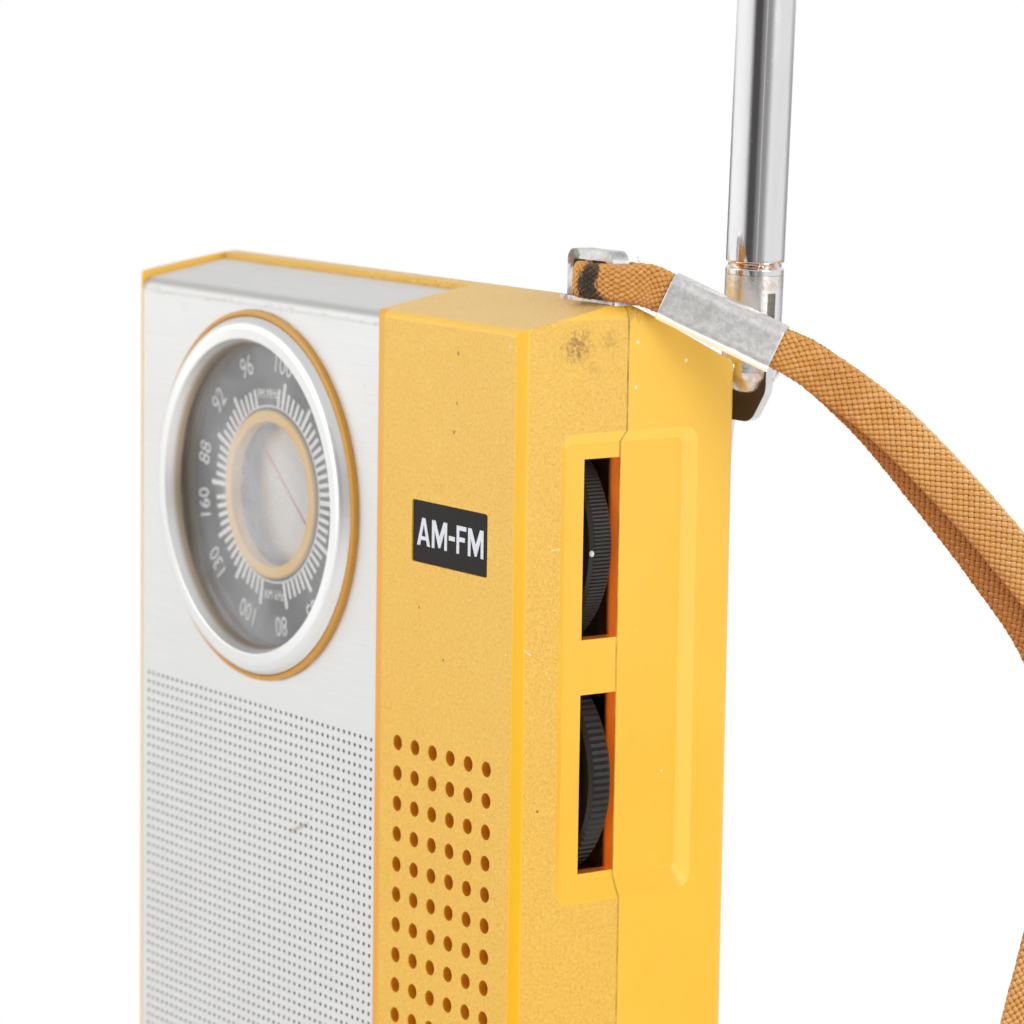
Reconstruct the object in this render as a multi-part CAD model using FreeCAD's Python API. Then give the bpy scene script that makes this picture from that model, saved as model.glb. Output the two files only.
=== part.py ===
import FreeCAD, Part
import math
import os

# Transistor pocket radio with a wrist strap and an extended telescopic antenna.
# Millimetres, +Z up, front face looks along -Y, +X is to the right seen from the front.
# Origin: middle of the bottom face, on the parting plane of the two shells.

Vector = FreeCAD.Vector
group = Part.makeCompound

# ---------------------------------------------------------------- driving dimensions
# Bounds in the xz plane are (x0, x1, z0, z1); places on it are (x, z).
WIDTH = 84.0
DEPTH = 29.5
RIDGE_Z = 128.0         # height of the ridge where the two shells meet
WALL = 2.0
CLEAR = 0.05            # gap round parts let into a pocket
HALF_W = WIDTH / 2.0
PANEL_Y = -14.2         # front of the raised panel
BACK_Y = DEPTH + PANEL_Y
RIM_Y = -12.9           # front of the metal plate and of the shell rim round it
INNER_Y = RIM_Y + WALL  # inside of the front wall
PANEL_INNER_Y = PANEL_Y + WALL
INNER_BACK_Y = BACK_Y - WALL
FRONT_RISE = 0.1835     # slope of the front part of the top
REAR_FALL = 0.493       # slope of the rear part of the top
FRONT_CEILING = 125.6   # heights of the two inside tops at the parting plane
REAR_CEILING = 125.77
PANEL_X = 13.5          # left edge of the raised panel
BOTTOM_EDGE_R = 1.4     # front and back bottom edges
SHOULDER_R = 2.2        # top corners at the ridge
FOOT_R = 2.0            # bottom corners

PLATE_T = 0.5
PLATE_X0 = -40.6
PLATE_Z0 = 2.6

DIAL = DIAL_X, DIAL_Z = -13.5, 101.1
BEZEL_R = 21.35
BEZEL_Y = -14.7         # bezel front
SEAT_Y = -11.92         # back of the bezel and of the lens
COLLAR_R = 22.0
DISC_R = 8.45           # pointer disc
DISC_Y = -8.5           # pointer disc front, at the bottom of a well in the scale
SHAFT_R = 1.5

GRILLE = (-39.8, 12.4, 5.0, 76.8)
BADGE = (21.4, 36.1, 98.05, 105.03)
HOLE_X0, HOLE_Z0 = 18.99, 77.0      # top left sound hole
HOLE_PITCH, HOLE_R = 3.5, 0.875
HOLE_COLUMNS, HOLE_ROWS = 6, 21

RECESS_RIM = (-8.7, 9.8, 62.0, 114.0)       # right side recess: y0 y1 z0 z1
RECESS_FLOOR = (-7.3, 8.5, 64.3, 112.7)
RECESS_X = 40.8
WHEEL_SLOTS = ((91.1, 111.0), (65.0, 85.0))  # z0 z1

WHEEL_R = 12.7
WHEEL_Y0, WHEEL_Y1 = -3.9, -0.9
TUNING = TUNING_X, TUNING_Z = 28.5, 101.05
VOLUME = VOLUME_X, VOLUME_Z = 29.1, 75.0
VOLUME_SHAFT_R = 1.45
PULLEY_R = 6.0          # groove radius of the tuning wheel pulley
DRUM_R = 10.0           # groove radius of the dial drum
CORD_Y = -6.2
CORD_R = 0.3
PULLEY_Y0 = CORD_Y - 1.2    # front of the drum and of the pulley

BOARD_Y0, BOARD_Y1 = 5.0, 6.4
ROD_YZ = (-4.6, 119.0)      # ferrite rod axis
EAR_YZ = (5.7, 108.0)       # earphone socket axis
SWITCH_SLOT = (-16.2, -7.6, 109.6, 112.4)

SPEAKER = SPEAKER_X, SPEAKER_Z = -13.5, 38.0
SPEAKER_R = 25.0
MAGNET_Y1 = 5.6

CELL_R, CELL_L = 7.1, 50.5
CELL_A, CELL_B, CELL_Y = 18.5, 32.8, 4.4    # x of the two cells, y of both
DOOR_GAP = 0.1
DOOR_INNER = (12.6, 38.9, 4.1, 58.5)
DOOR_OUTER = (11.7, 39.8, 3.3, 58.5)

ANTENNA = ANTENNA_X, ANTENNA_Y = 39.45, 18.95   # x, y
PIN_Z = 120.0
ANTENNA_R = 3.25
ANTENNA_LEAN = 2.0          # degrees off vertical, towards +X
ANTENNA_SCREW = (28.0, 111.0)

LOOP_X0, LOOP_X1 = 32.0, 40.35  # strap bracket outside width
STRIP_T = 1.1                   # bracket strip thickness
STRIP_W = 2.2                   # bracket strip depth
LOOP_TOP = 133.3
LOOP_BAR = (LOOP_X0 - 1.0, LOOP_X1 + 0.5, 124.4, 125.6)     # cross bar inside the case

CASE_SCREWS = ((-36.5, 119.0), (20.0, 120.0), (-36.5, 7.0), (7.0, 7.0))
BOSS_R = 2.8
BOARD_SCREWS = ((-37.0, 68.0), (-37.0, 90.0), (14.5, 88.0), (12.5, 118.0))


# ---------------------------------------------------------------- helpers
def box(x0, x1, y0, y1, z0, z1):
    return Part.makeBox(x1 - x0, y1 - y0, z1 - z0, Vector(x0, y0, z0))


def plate(bounds, y0, y1):
    """Box with the given bounds in the xz plane."""
    x0, x1, z0, z1 = bounds
    return box(x0, x1, y0, y1, z0, z1)


def grow(bounds, gap):
    u0, u1, v0, v1 = bounds
    return (u0 - gap, u1 + gap, v0 - gap, v1 + gap)


def cyl_x(y, z, radius, x0, x1):
    return Part.makeCylinder(radius, x1 - x0, Vector(x0, y, z), Vector(1, 0, 0))


def cyl_y(x, z, radius, y0, y1):
    return Part.makeCylinder(radius, y1 - y0, Vector(x, y0, z), Vector(0, 1, 0))


def rect(u0, u1, v0, v1, radius):
    return [(u0, v0, radius), (u1, v0, radius), (u1, v1, radius), (u0, v1, radius)]


def outline(points, place):
    """Closed wire through (u, v) or (u, v, corner radius) points; place maps u, v to space."""
    count = len(points)
    corners = []        # start, middle and end of each corner arc; middle is None if sharp
    for i in range(count):
        u, v = points[i][:2]
        radius = points[i][2] if len(points[i]) > 2 else 0.0
        if radius <= 0:
            corners.append(((u, v), None, (u, v)))
            continue
        before, after = points[i - 1], points[(i + 1) % count]
        back = (before[0] - u, before[1] - v)
        ahead = (after[0] - u, after[1] - v)
        back_len, ahead_len = math.hypot(*back), math.hypot(*ahead)
        back = (back[0] / back_len, back[1] / back_len)
        ahead = (ahead[0] / ahead_len, ahead[1] / ahead_len)
        dot = back[0] * ahead[0] + back[1] * ahead[1]
        half = math.acos(max(-1.0, min(1.0, dot))) / 2.0
        trim = radius / math.tan(half)
        bisector = (back[0] + ahead[0], back[1] + ahead[1])
        reach = (radius / math.sin(half) - radius) / math.hypot(*bisector)
        corners.append(((u + back[0] * trim, v + back[1] * trim),
                        (u + bisector[0] * reach, v + bisector[1] * reach),
                        (u + ahead[0] * trim, v + ahead[1] * trim)))
    edges = []
    for i, (start, middle, end) in enumerate(corners):
        if middle is not None:
            edges.append(Part.Arc(place(*start), place(*middle), place(*end)).toShape())
        here, there = place(*end), place(*corners[(i + 1) % count][0])
        if here.distanceToPoint(there) > 1e-6:
            edges.append(Part.makeLine(here, there))
    return Part.Wire(edges)


def on_plane(plane, level):
    return {"yz": lambda u, v: Vector(level, u, v),
            "xz": lambda u, v: Vector(u, level, v),
            "xy": lambda u, v: Vector(u, v, level)}[plane]


def prism(points, plane, start, end):
    """Outline on a plane, extruded along the third axis from start to end."""
    normal = {"yz": Vector(1, 0, 0), "xz": Vector(0, 1, 0), "xy": Vector(0, 0, 1)}[plane]
    return Part.Face(outline(points, on_plane(plane, start))).extrude(normal * (end - start))


def turn_y(points, x, z):
    """(radius, y) profile turned about an axis along Y."""
    face = Part.Face(outline(points, lambda r, y: Vector(x + r, y, z)))
    return face.revolve(Vector(x, 0, z), Vector(0, 1, 0), 360)


def turn_z(points, x, y):
    """(radius, z) profile turned about an axis along Z."""
    face = Part.Face(outline(points, lambda r, z: Vector(x + r, y, z)))
    return face.revolve(Vector(x, y, 0), Vector(0, 0, 1), 360)


def loft(wire_a, wire_b):
    return Part.makeLoft([wire_a, wire_b], True, True)


def sweep(path, start, direction, radius):
    """Round bar along a path."""
    profile = Part.Wire([Part.makeCircle(radius, start, direction)])
    bar = path.makePipeShell([profile], True, False)
    return bar if bar.ShapeType == "Solid" else Part.Solid(bar)


def wire_run(points, radius):
    """Round wire through points."""
    curve = Part.BSplineCurve()
    curve.interpolate([Vector(*point) for point in points])
    direction = curve.tangent(curve.FirstParameter)[0]
    return sweep(Part.Wire([curve.toShape()]), Vector(*points[0]), direction, radius)


def cut_all(shape, tools):
    return shape.cut(group(tools))


def cross_slot(screw, x, z, y0, y1):
    screw = screw.cut(box(x - 1.5, x + 1.5, y0, y1, z - 0.25, z + 0.25))
    return screw.cut(box(x - 0.25, x + 0.25, y0, y1, z - 1.5, z + 1.5))


def clean(shape):
    """Merges faces that lie on one surface, and keeps the result only if it is sound."""
    volume = shape.Volume
    merged = shape.copy().removeSplitter()
    sound = merged.isValid() and abs(merged.Volume - volume) < 1e-3 * max(1.0, volume)
    return merged if sound else shape


PIECES = []


def piece(build):
    """Lists a function as a piece; its name is the file name."""
    PIECES.append(build)
    return build


# ---------------------------------------------------------------- case shells
CASE_FRONT_VIEW = [(-HALF_W, 0, FOOT_R), (HALF_W, 0, FOOT_R),
                   (HALF_W, RIDGE_Z + 0.02, SHOULDER_R), (-HALF_W, RIDGE_Z + 0.02, SHOULDER_R)]


def front_top(y, ridge=RIDGE_Z):
    return ridge + FRONT_RISE * y


def rear_top(y, ridge=RIDGE_Z):
    return ridge - REAR_FALL * y


def front_block(x0, face_y, corner_r):
    """Front half of the case, from x0 to the right side, back from face_y."""
    side = [(face_y, 0, BOTTOM_EDGE_R), (0, 0), (0, RIDGE_Z), (face_y, front_top(face_y), 0.9)]
    plan = [(x0, 0.0), (x0, face_y, corner_r), (HALF_W, face_y, corner_r), (HALF_W, 0.0)]
    return prism(side, "yz", x0, HALF_W).common(prism(plan, "xy", -1, RIDGE_Z + 2))


def side_recess():
    """Cutter with sloping edges, run 1 mm past the side of the case."""
    outer_x = HALF_W + 1.0
    stretch = (outer_x - RECESS_X) / (HALF_W - RECESS_X)
    outer = [floor + (rim - floor) * stretch for floor, rim in zip(RECESS_FLOOR, RECESS_RIM)]
    return loft(outline(rect(*RECESS_FLOOR, 0.8), on_plane("yz", RECESS_X)),
                outline(rect(*outer, 2.6), on_plane("yz", outer_x)))


def recess_pad(y0, y1):
    """Inside pad that carries the side recess."""
    return box(38.8, 40.2, y0, y1, 60.9, 115.1)


def notch_ridge(shell, y0, y1):
    """Notches for the legs and the cross bar of the strap bracket."""
    for x0 in (LOOP_X0, LOOP_X1 - STRIP_T):
        shell = shell.cut(box(x0 - CLEAR, x0 + STRIP_T + CLEAR, y0, y1, 124.0, 130))
    return shell.cut(plate(grow(LOOP_BAR, 0.1), y0, y1))


@piece
def front_shell():
    shell = front_block(-HALF_W, RIM_Y, 1.25).fuse(front_block(PANEL_X, PANEL_Y, 1.2))
    shell = shell.common(prism(CASE_FRONT_VIEW, "xz", PANEL_Y - 1, 0))
    # pocket for the metal plate: up the front and back over the top
    plate_back = RIM_Y + PLATE_T
    pocket = [(-20, PLATE_Z0 - 0.1), (plate_back, PLATE_Z0 - 0.1), (plate_back, 124.49, 1.1),
              (-1.25, 126.53), (-1.25, 140), (-20, 140)]
    shell = shell.cut(prism(pocket, "yz", PLATE_X0 - CLEAR, PANEL_X))
    # collar round the dial
    collar_y = -13.6
    shell = shell.fuse(turn_y([(BEZEL_R, PANEL_INNER_Y), (BEZEL_R, collar_y),
                               (COLLAR_R, collar_y, 0.25), (COLLAR_R, PANEL_INNER_Y)], *DIAL))
    # hollow, deeper behind the raised panel
    cavity = prism([(INNER_Y, WALL), (1, WALL), (1, front_top(1, FRONT_CEILING)),
                    (INNER_Y, front_top(INNER_Y, FRONT_CEILING))],
                   "yz", -HALF_W + WALL, HALF_W - WALL)
    cavity = cavity.fuse(prism([(PANEL_INNER_Y, WALL), (-10.8, WALL), (-10.8, 123.1),
                                (PANEL_INNER_Y, 122.9)], "yz", PANEL_X + WALL, HALF_W - WALL))
    shell = shell.cut(cavity)
    shell = shell.fuse(recess_pad(-9.2, 0))
    # dial seat and clear opening
    shell = cut_all(shell, [cyl_y(*DIAL, BEZEL_R + CLEAR, -14.5, -11.9),
                            cyl_y(*DIAL, 17.9, -12.0, -10.0)])
    # seat for the grille cloth, and the speaker opening with its bars
    shell = shell.cut(plate(GRILLE, -12.5, -12.1))
    opening = cyl_y(*SPEAKER, 21.2, -12.6, -10.0)
    bars = []
    for k in (-1.5, -0.5, 0.5, 1.5):
        z = SPEAKER_Z + k * 10.0
        bars.append(box(SPEAKER_X - 22, SPEAKER_X + 22, -13, -9, z - 0.9, z + 0.9))
    shell = shell.cut(cut_all(opening, bars))
    # sound holes in the raised panel
    shell = cut_all(shell, [cyl_y(HOLE_X0 + HOLE_PITCH * i, HOLE_Z0 - HOLE_PITCH * j, HOLE_R,
                                  PANEL_Y - 0.5, PANEL_Y + 3.0)
                            for i in range(HOLE_COLUMNS) for j in range(HOLE_ROWS)])
    shell = shell.cut(prism(rect(*BADGE, 0.35), "xz", PANEL_Y - 1, PANEL_Y + 0.5))
    # side recess and the two thumbwheel slots
    shell = shell.cut(side_recess())
    for z0, z1 in WHEEL_SLOTS:
        shell = shell.cut(box(38.0, 43.0, -4.8, 1.0, z0, z1))
    # bosses for the case screws and posts for the circuit board
    for x, z in CASE_SCREWS:
        shell = shell.fuse(cyl_y(x, z, BOSS_R, -11.2 if x < PANEL_X else -12.5, -0.05))
        shell = shell.cut(cyl_y(x, z, 1.0, -8.0, 0.5))
    for x, z in BOARD_SCREWS:
        shell = shell.fuse(cyl_y(x, z, 2.0, -11.2, BOARD_Y0))
        shell = shell.cut(cyl_y(x, z, 0.8, -2.0, BOARD_Y0 + 0.5))
    return notch_ridge(shell, -STRIP_W / 2 - CLEAR, 1)


@piece
def rear_shell():
    side = [(0, 0), (BACK_Y, 0, BOTTOM_EDGE_R), (BACK_Y, rear_top(BACK_Y), 1.0), (0, RIDGE_Z)]
    plan = [(-HALF_W, 0), (HALF_W, 0), (HALF_W, BACK_Y, 1.6), (-HALF_W, BACK_Y, 1.6)]
    shell = prism(side, "yz", -HALF_W, HALF_W)
    shell = shell.common(prism(plan, "xy", -1, RIDGE_Z + 2))
    shell = shell.common(prism(CASE_FRONT_VIEW, "xz", 0, BACK_Y + 1))
    cavity = [(-1, WALL), (INNER_BACK_Y, WALL),
              (INNER_BACK_Y, rear_top(INNER_BACK_Y, REAR_CEILING)),
              (-1, rear_top(-1, REAR_CEILING))]
    shell = shell.cut(prism(cavity, "yz", -HALF_W + WALL, HALF_W - WALL))
    shell = shell.fuse(recess_pad(0, 10.2))
    shell = shell.cut(side_recess())
    root_y = INNER_BACK_Y + 0.2     # towers and ribs run this far into the back wall
    # screw towers with a through hole and a head pocket
    for x, z in CASE_SCREWS:
        shell = shell.fuse(cyl_y(x, z, BOSS_R, 0.05, root_y))
        shell = cut_all(shell, [cyl_y(x, z, 1.3, -0.5, BACK_Y + 1),
                                cyl_y(x, z, 2.6, BACK_Y - 1.9, BACK_Y + 1)])
    # battery bay: ribs and the stepped opening for its door
    shell = shell.fuse(box(10.0, 11.0, -3.2, root_y, WALL, 60.0))
    shell = shell.fuse(box(10.0, 39.9, -3.2, root_y, 59.0, 60.0))
    shell = shell.fuse(box(39.0, 40.1, 0.0, root_y, 59.0, 60.0))
    shell = cut_all(shell, [plate(grow(DOOR_INNER, DOOR_GAP), INNER_BACK_Y - 1, BACK_Y + 1),
                            plate(grow(DOOR_OUTER, DOOR_GAP), BACK_Y - 0.95, BACK_Y + 1)])
    # slot of the band switch, antenna screw boss, earphone hole
    shell = shell.cut(plate(SWITCH_SLOT, INNER_BACK_Y - 1, BACK_Y + 1))
    shell = shell.fuse(cyl_y(*ANTENNA_SCREW, 2.6, 8.7, root_y))
    shell = shell.cut(cyl_y(*ANTENNA_SCREW, 1.0, 8.0, BACK_Y + 1))
    shell = shell.cut(cyl_x(*EAR_YZ, 3.3, -HALF_W - 1, -HALF_W + 3))
    return notch_ridge(shell, -1, STRIP_W / 2 + CLEAR)


# ---------------------------------------------------------------- front trim
@piece
def front_plate():
    back = RIM_Y + PLATE_T
    side = [(RIM_Y, PLATE_Z0), (RIM_Y, 124.93, 1.6), (-1.3, 127.06), (-1.3, 126.55),
            (back, 124.515, 1.1), (back, PLATE_Z0)]
    sheet = prism(side, "yz", PLATE_X0, PANEL_X - CLEAR)
    return sheet.cut(cyl_y(*DIAL, COLLAR_R + CLEAR, -14, -12))


@piece
def grille_cloth():
    return plate(grow(GRILLE, -0.1), -12.38, -12.12)


@piece
def band_badge():
    return prism(rect(*grow(BADGE, -0.08), 0.3), "xz", PANEL_Y + 0.15, PANEL_Y + 0.5)


# ---------------------------------------------------------------- dial: (radius, y) profiles
@piece
def dial_bezel():
    return turn_y([(17.95, -12.9), (18.7, BEZEL_Y, 0.2), (20.5, BEZEL_Y, 1.2),
                   (BEZEL_R, -13.5, 0.5), (BEZEL_R, SEAT_Y), (18.4, SEAT_Y), (18.4, -12.9)], *DIAL)


@piece
def dial_lens():
    return turn_y([(0, -12.86), (18.3, -12.86, 0.12), (18.3, SEAT_Y), (0, SEAT_Y)], *DIAL)


@piece
def dial_scale():
    """Flat ring with the wall of the pointer well on its inner edge."""
    back, well_y = INNER_Y + 0.5, -8.75
    return turn_y([(9.35, INNER_Y), (19.5, INNER_Y), (19.5, back), (10.1, back),
                   (10.1, well_y), (9.35, well_y)], *DIAL)


@piece
def dial_inner_ring():
    front, back = INNER_Y - 0.45, INNER_Y + 0.95
    return turn_y([(8.65, back, 0.1), (8.65, front, 0.15), (10.05, front, 0.25),
                   (10.05, INNER_Y), (9.33, INNER_Y), (9.33, back)], *DIAL)


@piece
def dial_pointer_disc():
    disc = cyl_y(*DIAL, DISC_R, DISC_Y, DISC_Y + 0.6)
    disc = disc.fuse(cyl_y(*DIAL, 2.6, DISC_Y + 0.5, -7.42))
    return disc.cut(cyl_y(*DIAL, SHAFT_R, DISC_Y + 0.4, -7.0))


@piece
def dial_shaft():
    return cyl_y(*DIAL, SHAFT_R, DISC_Y + 0.4, -3.6)


def cord_groove(radius, rim_r):
    return [(rim_r, CORD_Y - 0.55), (radius, CORD_Y - 0.25),
            (radius, CORD_Y + 0.25), (rim_r, CORD_Y + 0.55)]


@piece
def dial_drum():
    rim_r, back = DRUM_R + 1.0, CORD_Y + 1.2
    drum = turn_y([(SHAFT_R, PULLEY_Y0), (rim_r, PULLEY_Y0, 0.2)] + cord_groove(DRUM_R, rim_r)
                  + [(rim_r, back, 0.2), (SHAFT_R, back)], *DIAL)
    for degrees in (45, 135, 225, 315):
        angle = math.radians(degrees)
        drum = drum.cut(cyl_y(DIAL_X + 5.9 * math.cos(angle), DIAL_Z + 5.9 * math.sin(angle),
                              2.2, -8, -4))
    return drum


@piece
def tuning_capacitor():
    body = box(DIAL_X - 10, DIAL_X + 10, -4.4, BOARD_Y0, DIAL_Z - 10, DIAL_Z + 10)
    return body.fuse(cyl_y(*DIAL, 2.8, -4.9, -4.3)).cut(cyl_y(*DIAL, SHAFT_R + CLEAR, -6, -3.5))


# ---------------------------------------------------------------- thumbwheels
def thumbwheel(x, z, teeth):
    """Knurled wheel with chamfered rim and a ring-shaped recess in its back."""
    # one tooth: (fraction of the tooth pitch, radius)
    root_r = WHEEL_R - 0.20
    tooth = ((0.0, root_r), (0.22, WHEEL_R), (0.72, WHEEL_R), (0.94, root_r))
    points = []
    for k in range(teeth):
        for fraction, radius in tooth:
            angle = 2 * math.pi * (k + fraction) / teeth
            points.append((x + radius * math.cos(angle), z + radius * math.sin(angle)))
    bevel = 0.45
    crown = turn_y([(0, WHEEL_Y0), (WHEEL_R - bevel, WHEEL_Y0), (WHEEL_R, WHEEL_Y0 + bevel),
                    (WHEEL_R, WHEEL_Y1 - bevel), (WHEEL_R - bevel, WHEEL_Y1), (0, WHEEL_Y1)], x, z)
    wheel = prism(points, "xz", WHEEL_Y0, WHEEL_Y1).common(crown)
    floor = WHEEL_Y1 - 0.7
    return wheel.cut(turn_y([(4.0, WHEEL_Y1 + 1), (4.0, floor), (10.6, floor),
                             (10.6, WHEEL_Y1 + 1)], x, z))


@piece
def tuning_wheel():
    """Thumbwheel with the cord pulley on its front."""
    rim_r = PULLEY_R + 0.9
    pulley = turn_y([(0, WHEEL_Y0), (0, PULLEY_Y0), (rim_r, PULLEY_Y0, 0.15)]
                    + cord_groove(PULLEY_R, rim_r) + [(rim_r, WHEEL_Y0)], *TUNING)
    wheel = thumbwheel(*TUNING, 186).fuse(pulley)
    return wheel.cut(cyl_y(*TUNING, SHAFT_R + CLEAR, -9, 1))


@piece
def tuning_axle():
    axle = turn_y([(0, -8.6), (SHAFT_R, -8.6, 0.3), (SHAFT_R, -0.5), (2.6, -0.5),
                   (2.6, BOARD_Y0), (0, BOARD_Y0)], *TUNING)
    return axle.cut(turn_y([(1.15, -8.1), (3, -8.1), (3, -7.55), (1.15, -7.55)], *TUNING))


@piece
def tuning_axle_clip():
    ring = turn_y([(1.2, -8.05), (2.9, -8.05), (2.9, -7.6), (1.2, -7.6)], *TUNING)
    return ring.cut(box(TUNING_X - 0.9, TUNING_X + 0.9, -9, -7, TUNING_Z, TUNING_Z + 4))


@piece
def volume_wheel():
    return thumbwheel(*VOLUME, 100).cut(cyl_y(*VOLUME, VOLUME_SHAFT_R, -9, 1))


@piece
def volume_shaft():
    return cyl_y(*VOLUME, VOLUME_SHAFT_R, -3.85, 2.0)


@piece
def volume_screw():
    head = turn_y([(0, -4.9), (2.1, -4.9, 0.3), (2.1, -3.95), (0, -3.95)], *VOLUME)
    return head.cut(box(VOLUME_X - 2.5, VOLUME_X + 2.5, -5.2, -4.5,
                        VOLUME_Z - 0.25, VOLUME_Z + 0.25))


@piece
def volume_pot():
    pot = cyl_y(*VOLUME, 8.3, -0.4, BOARD_Y0 - 1.0)
    pot = pot.fuse(cyl_y(*VOLUME, 7.6, BOARD_Y0 - 1.1, BOARD_Y0))
    return pot.cut(cyl_y(*VOLUME, VOLUME_SHAFT_R + CLEAR, -1, 2.1))


@piece
def dial_cord():
    """Endless loop round the drum and the pulley."""
    drum_r = DRUM_R + CORD_R + 0.05
    pulley_r = PULLEY_R + CORD_R + 0.05
    lean = math.asin((drum_r - pulley_r) / (TUNING_X - DIAL_X))
    across, along = math.sin(lean), math.cos(lean)

    def tangent_point(x, z, radius, side):
        return Vector(x + radius * across, CORD_Y, z + side * radius * along)

    drum_top = tangent_point(*DIAL, drum_r, 1)
    drum_bottom = tangent_point(*DIAL, drum_r, -1)
    pulley_top = tangent_point(*TUNING, pulley_r, 1)
    pulley_bottom = tangent_point(*TUNING, pulley_r, -1)
    pulley_right = Vector(TUNING_X + pulley_r, CORD_Y, TUNING_Z)
    drum_left = Vector(DIAL_X - drum_r, CORD_Y, DIAL_Z)
    path = Part.Wire([Part.makeLine(drum_top, pulley_top),
                      Part.Arc(pulley_top, pulley_right, pulley_bottom).toShape(),
                      Part.makeLine(pulley_bottom, drum_bottom),
                      Part.Arc(drum_bottom, drum_left, drum_top).toShape()])
    return sweep(path, drum_top, pulley_top - drum_top, CORD_R)


# ---------------------------------------------------------------- circuit board and its parts
@piece
def circuit_board():
    board = box(-39.0, 38.0, BOARD_Y0, BOARD_Y1, 65.0, 121.0)
    board = board.cut(box(-40, -26, 4, 8, 100, 122))    # corner cut away for the socket
    return cut_all(board, [cyl_y(*CASE_SCREWS[1], 3.1, 4, 8)]
                   + [cyl_y(x, z, 1.1, 4, 8) for x, z in BOARD_SCREWS])


@piece
def ferrite_rod():
    return cyl_x(*ROD_YZ, 4.0, -31.5, 7.5)


@piece
def ferrite_coil():
    return cyl_x(*ROD_YZ, 4.55, -28.0, -13.0).cut(cyl_x(*ROD_YZ, 4.0, -30, -10))


@piece
def ferrite_holders():
    holders = []
    for x in (-9.0, 3.0):
        ring = cyl_x(*ROD_YZ, 5.2, x, x + 2.0)
        ring = ring.common(box(x, x + 2, -12, BOARD_Y0, 112, 123.9))
        holder = box(x, x + 2.0, ROD_YZ[0], BOARD_Y0, 114.4, 120.9).fuse(ring)
        holders.append(holder.cut(cyl_x(*ROD_YZ, 4.02, x - 1, x + 3)))
    return group(holders)


@piece
def if_transformers():
    cans = []
    for x, z in ((-29.5, 95.0), (-29.5, 86.0), (-29.5, 77.0), (2.5, 108.0)):
        can = box(x - 3.5, x + 3.5, -4.4, BOARD_Y0, z - 3.5, z + 3.5)
        cans.append(can.cut(cyl_y(x, z, 1.7, -5, -2.4)))
    return group(cans)


CAPACITORS = (      # x, z, radius, height
    (-16.0, 84.5, 3.1, 9.0), (-8.5, 84.5, 3.1, 9.0), (-1.0, 84.5, 2.5, 8.0),
    (-19.5, 76.0, 4.0, 10.5), (-10.0, 75.0, 2.5, 8.0))


@piece
def electrolytic_capacitors():
    return group([turn_y([(0, BOARD_Y0 - height), (radius, BOARD_Y0 - height, 0.4),
                          (radius, BOARD_Y0), (0, BOARD_Y0)], x, z)
                  for x, z, radius, height in CAPACITORS])


@piece
def transistors():
    """Round bodies with a flat on top, each on three legs."""
    built = []
    for x, z in ((3.5, 98.0), (9.5, 98.0), (9.5, 106.0), (5.0, 91.5), (6.0, 84.0), (-3.0, 77.5)):
        body = cyl_y(x, z, 2.3, -0.6, BOARD_Y0 - 1.0)
        body = body.common(box(x - 3, x + 3, -1, 6, z - 3, z + 1.2))
        for leg_x in (x - 1.2, x, x + 1.2):
            body = body.fuse(box(leg_x - 0.2, leg_x + 0.2, BOARD_Y0 - 1.05, BOARD_Y0,
                                 z - 0.2, z + 0.2))
        built.append(body)
    return group(built)


@piece
def resistors():
    """Bodies along X, each with an axial wire bent down to the board."""
    built = []
    axis_y = BOARD_Y0 - 1.4
    for x, z in ((-24.0, 69.0), (-15.0, 69.0), (-6.0, 69.0), (3.0, 69.0),
                 (3.0, 72.6), (3.0, 76.4), (3.0, 79.9)):
        body = cyl_x(axis_y, z, 1.1, x, x + 5.6)
        for leg_x in (x - 0.9, x + 6.1):
            body = body.fuse(box(leg_x, leg_x + 0.4, BOARD_Y0 - 1.6, BOARD_Y0, z - 0.2, z + 0.2))
        built.append(body.fuse(cyl_x(axis_y, z, 0.2, x - 0.9, x + 6.5)))
    return group(built)


@piece
def output_transformer():
    return box(-34.0, -28.0, -5.0, BOARD_Y0, 66.2, 72.2).fuse(
        box(-34.9, -27.1, -3.4, 2.4, 66.8, 71.6))


@piece
def earphone_socket():
    body = box(-39.9, -27.5, 1.7, 9.7, 104.0, 112.0)
    body = body.fuse(cyl_x(*EAR_YZ, 3.2, -HALF_W - 0.4, -HALF_W + 2.6))
    return body.cut(cyl_x(*EAR_YZ, 1.8, -HALF_W - 1.0, -HALF_W + 12.4))


@piece
def band_switch_body():
    x0, x1, z0, z1 = SWITCH_SLOT
    return box(-19.5, -4.5, BOARD_Y1, 11.4, 107.5, 114.5).cut(
        box(x0, x1, 9.9, 12, z0 - 0.2, z1 + 0.2))


@piece
def band_switch_slider():
    slider = box(-15.9, -12.9, 10.1, BACK_Y + 0.2, 109.8, 112.2)
    slider = slider.fuse(prism(rect(-17.2, -11.6, 108.9, 113.1, 0.6), "xz",
                               BACK_Y + 0.1, BACK_Y + 1.3))
    for k in range(4):      # grip grooves
        x = -16.3 + k * 1.1
        slider = slider.cut(box(x, x + 0.5, BACK_Y + 0.9, BACK_Y + 2, 108, 114))
    return slider


@piece
def board_screws():
    head_y = BOARD_Y1 + 0.9
    screws = []
    for x, z in BOARD_SCREWS:
        head = turn_y([(0, BOARD_Y1), (1.9, BOARD_Y1), (1.7, head_y, 0.2), (0, head_y)], x, z)
        screw = cyl_y(x, z, 0.78, -1.0, BOARD_Y1 + 0.1).fuse(head)
        screws.append(screw.cut(box(x - 2, x + 2, BOARD_Y1 + 0.45, BOARD_Y1 + 2,
                                    z - 0.2, z + 0.2)))
    return group(screws)


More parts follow.
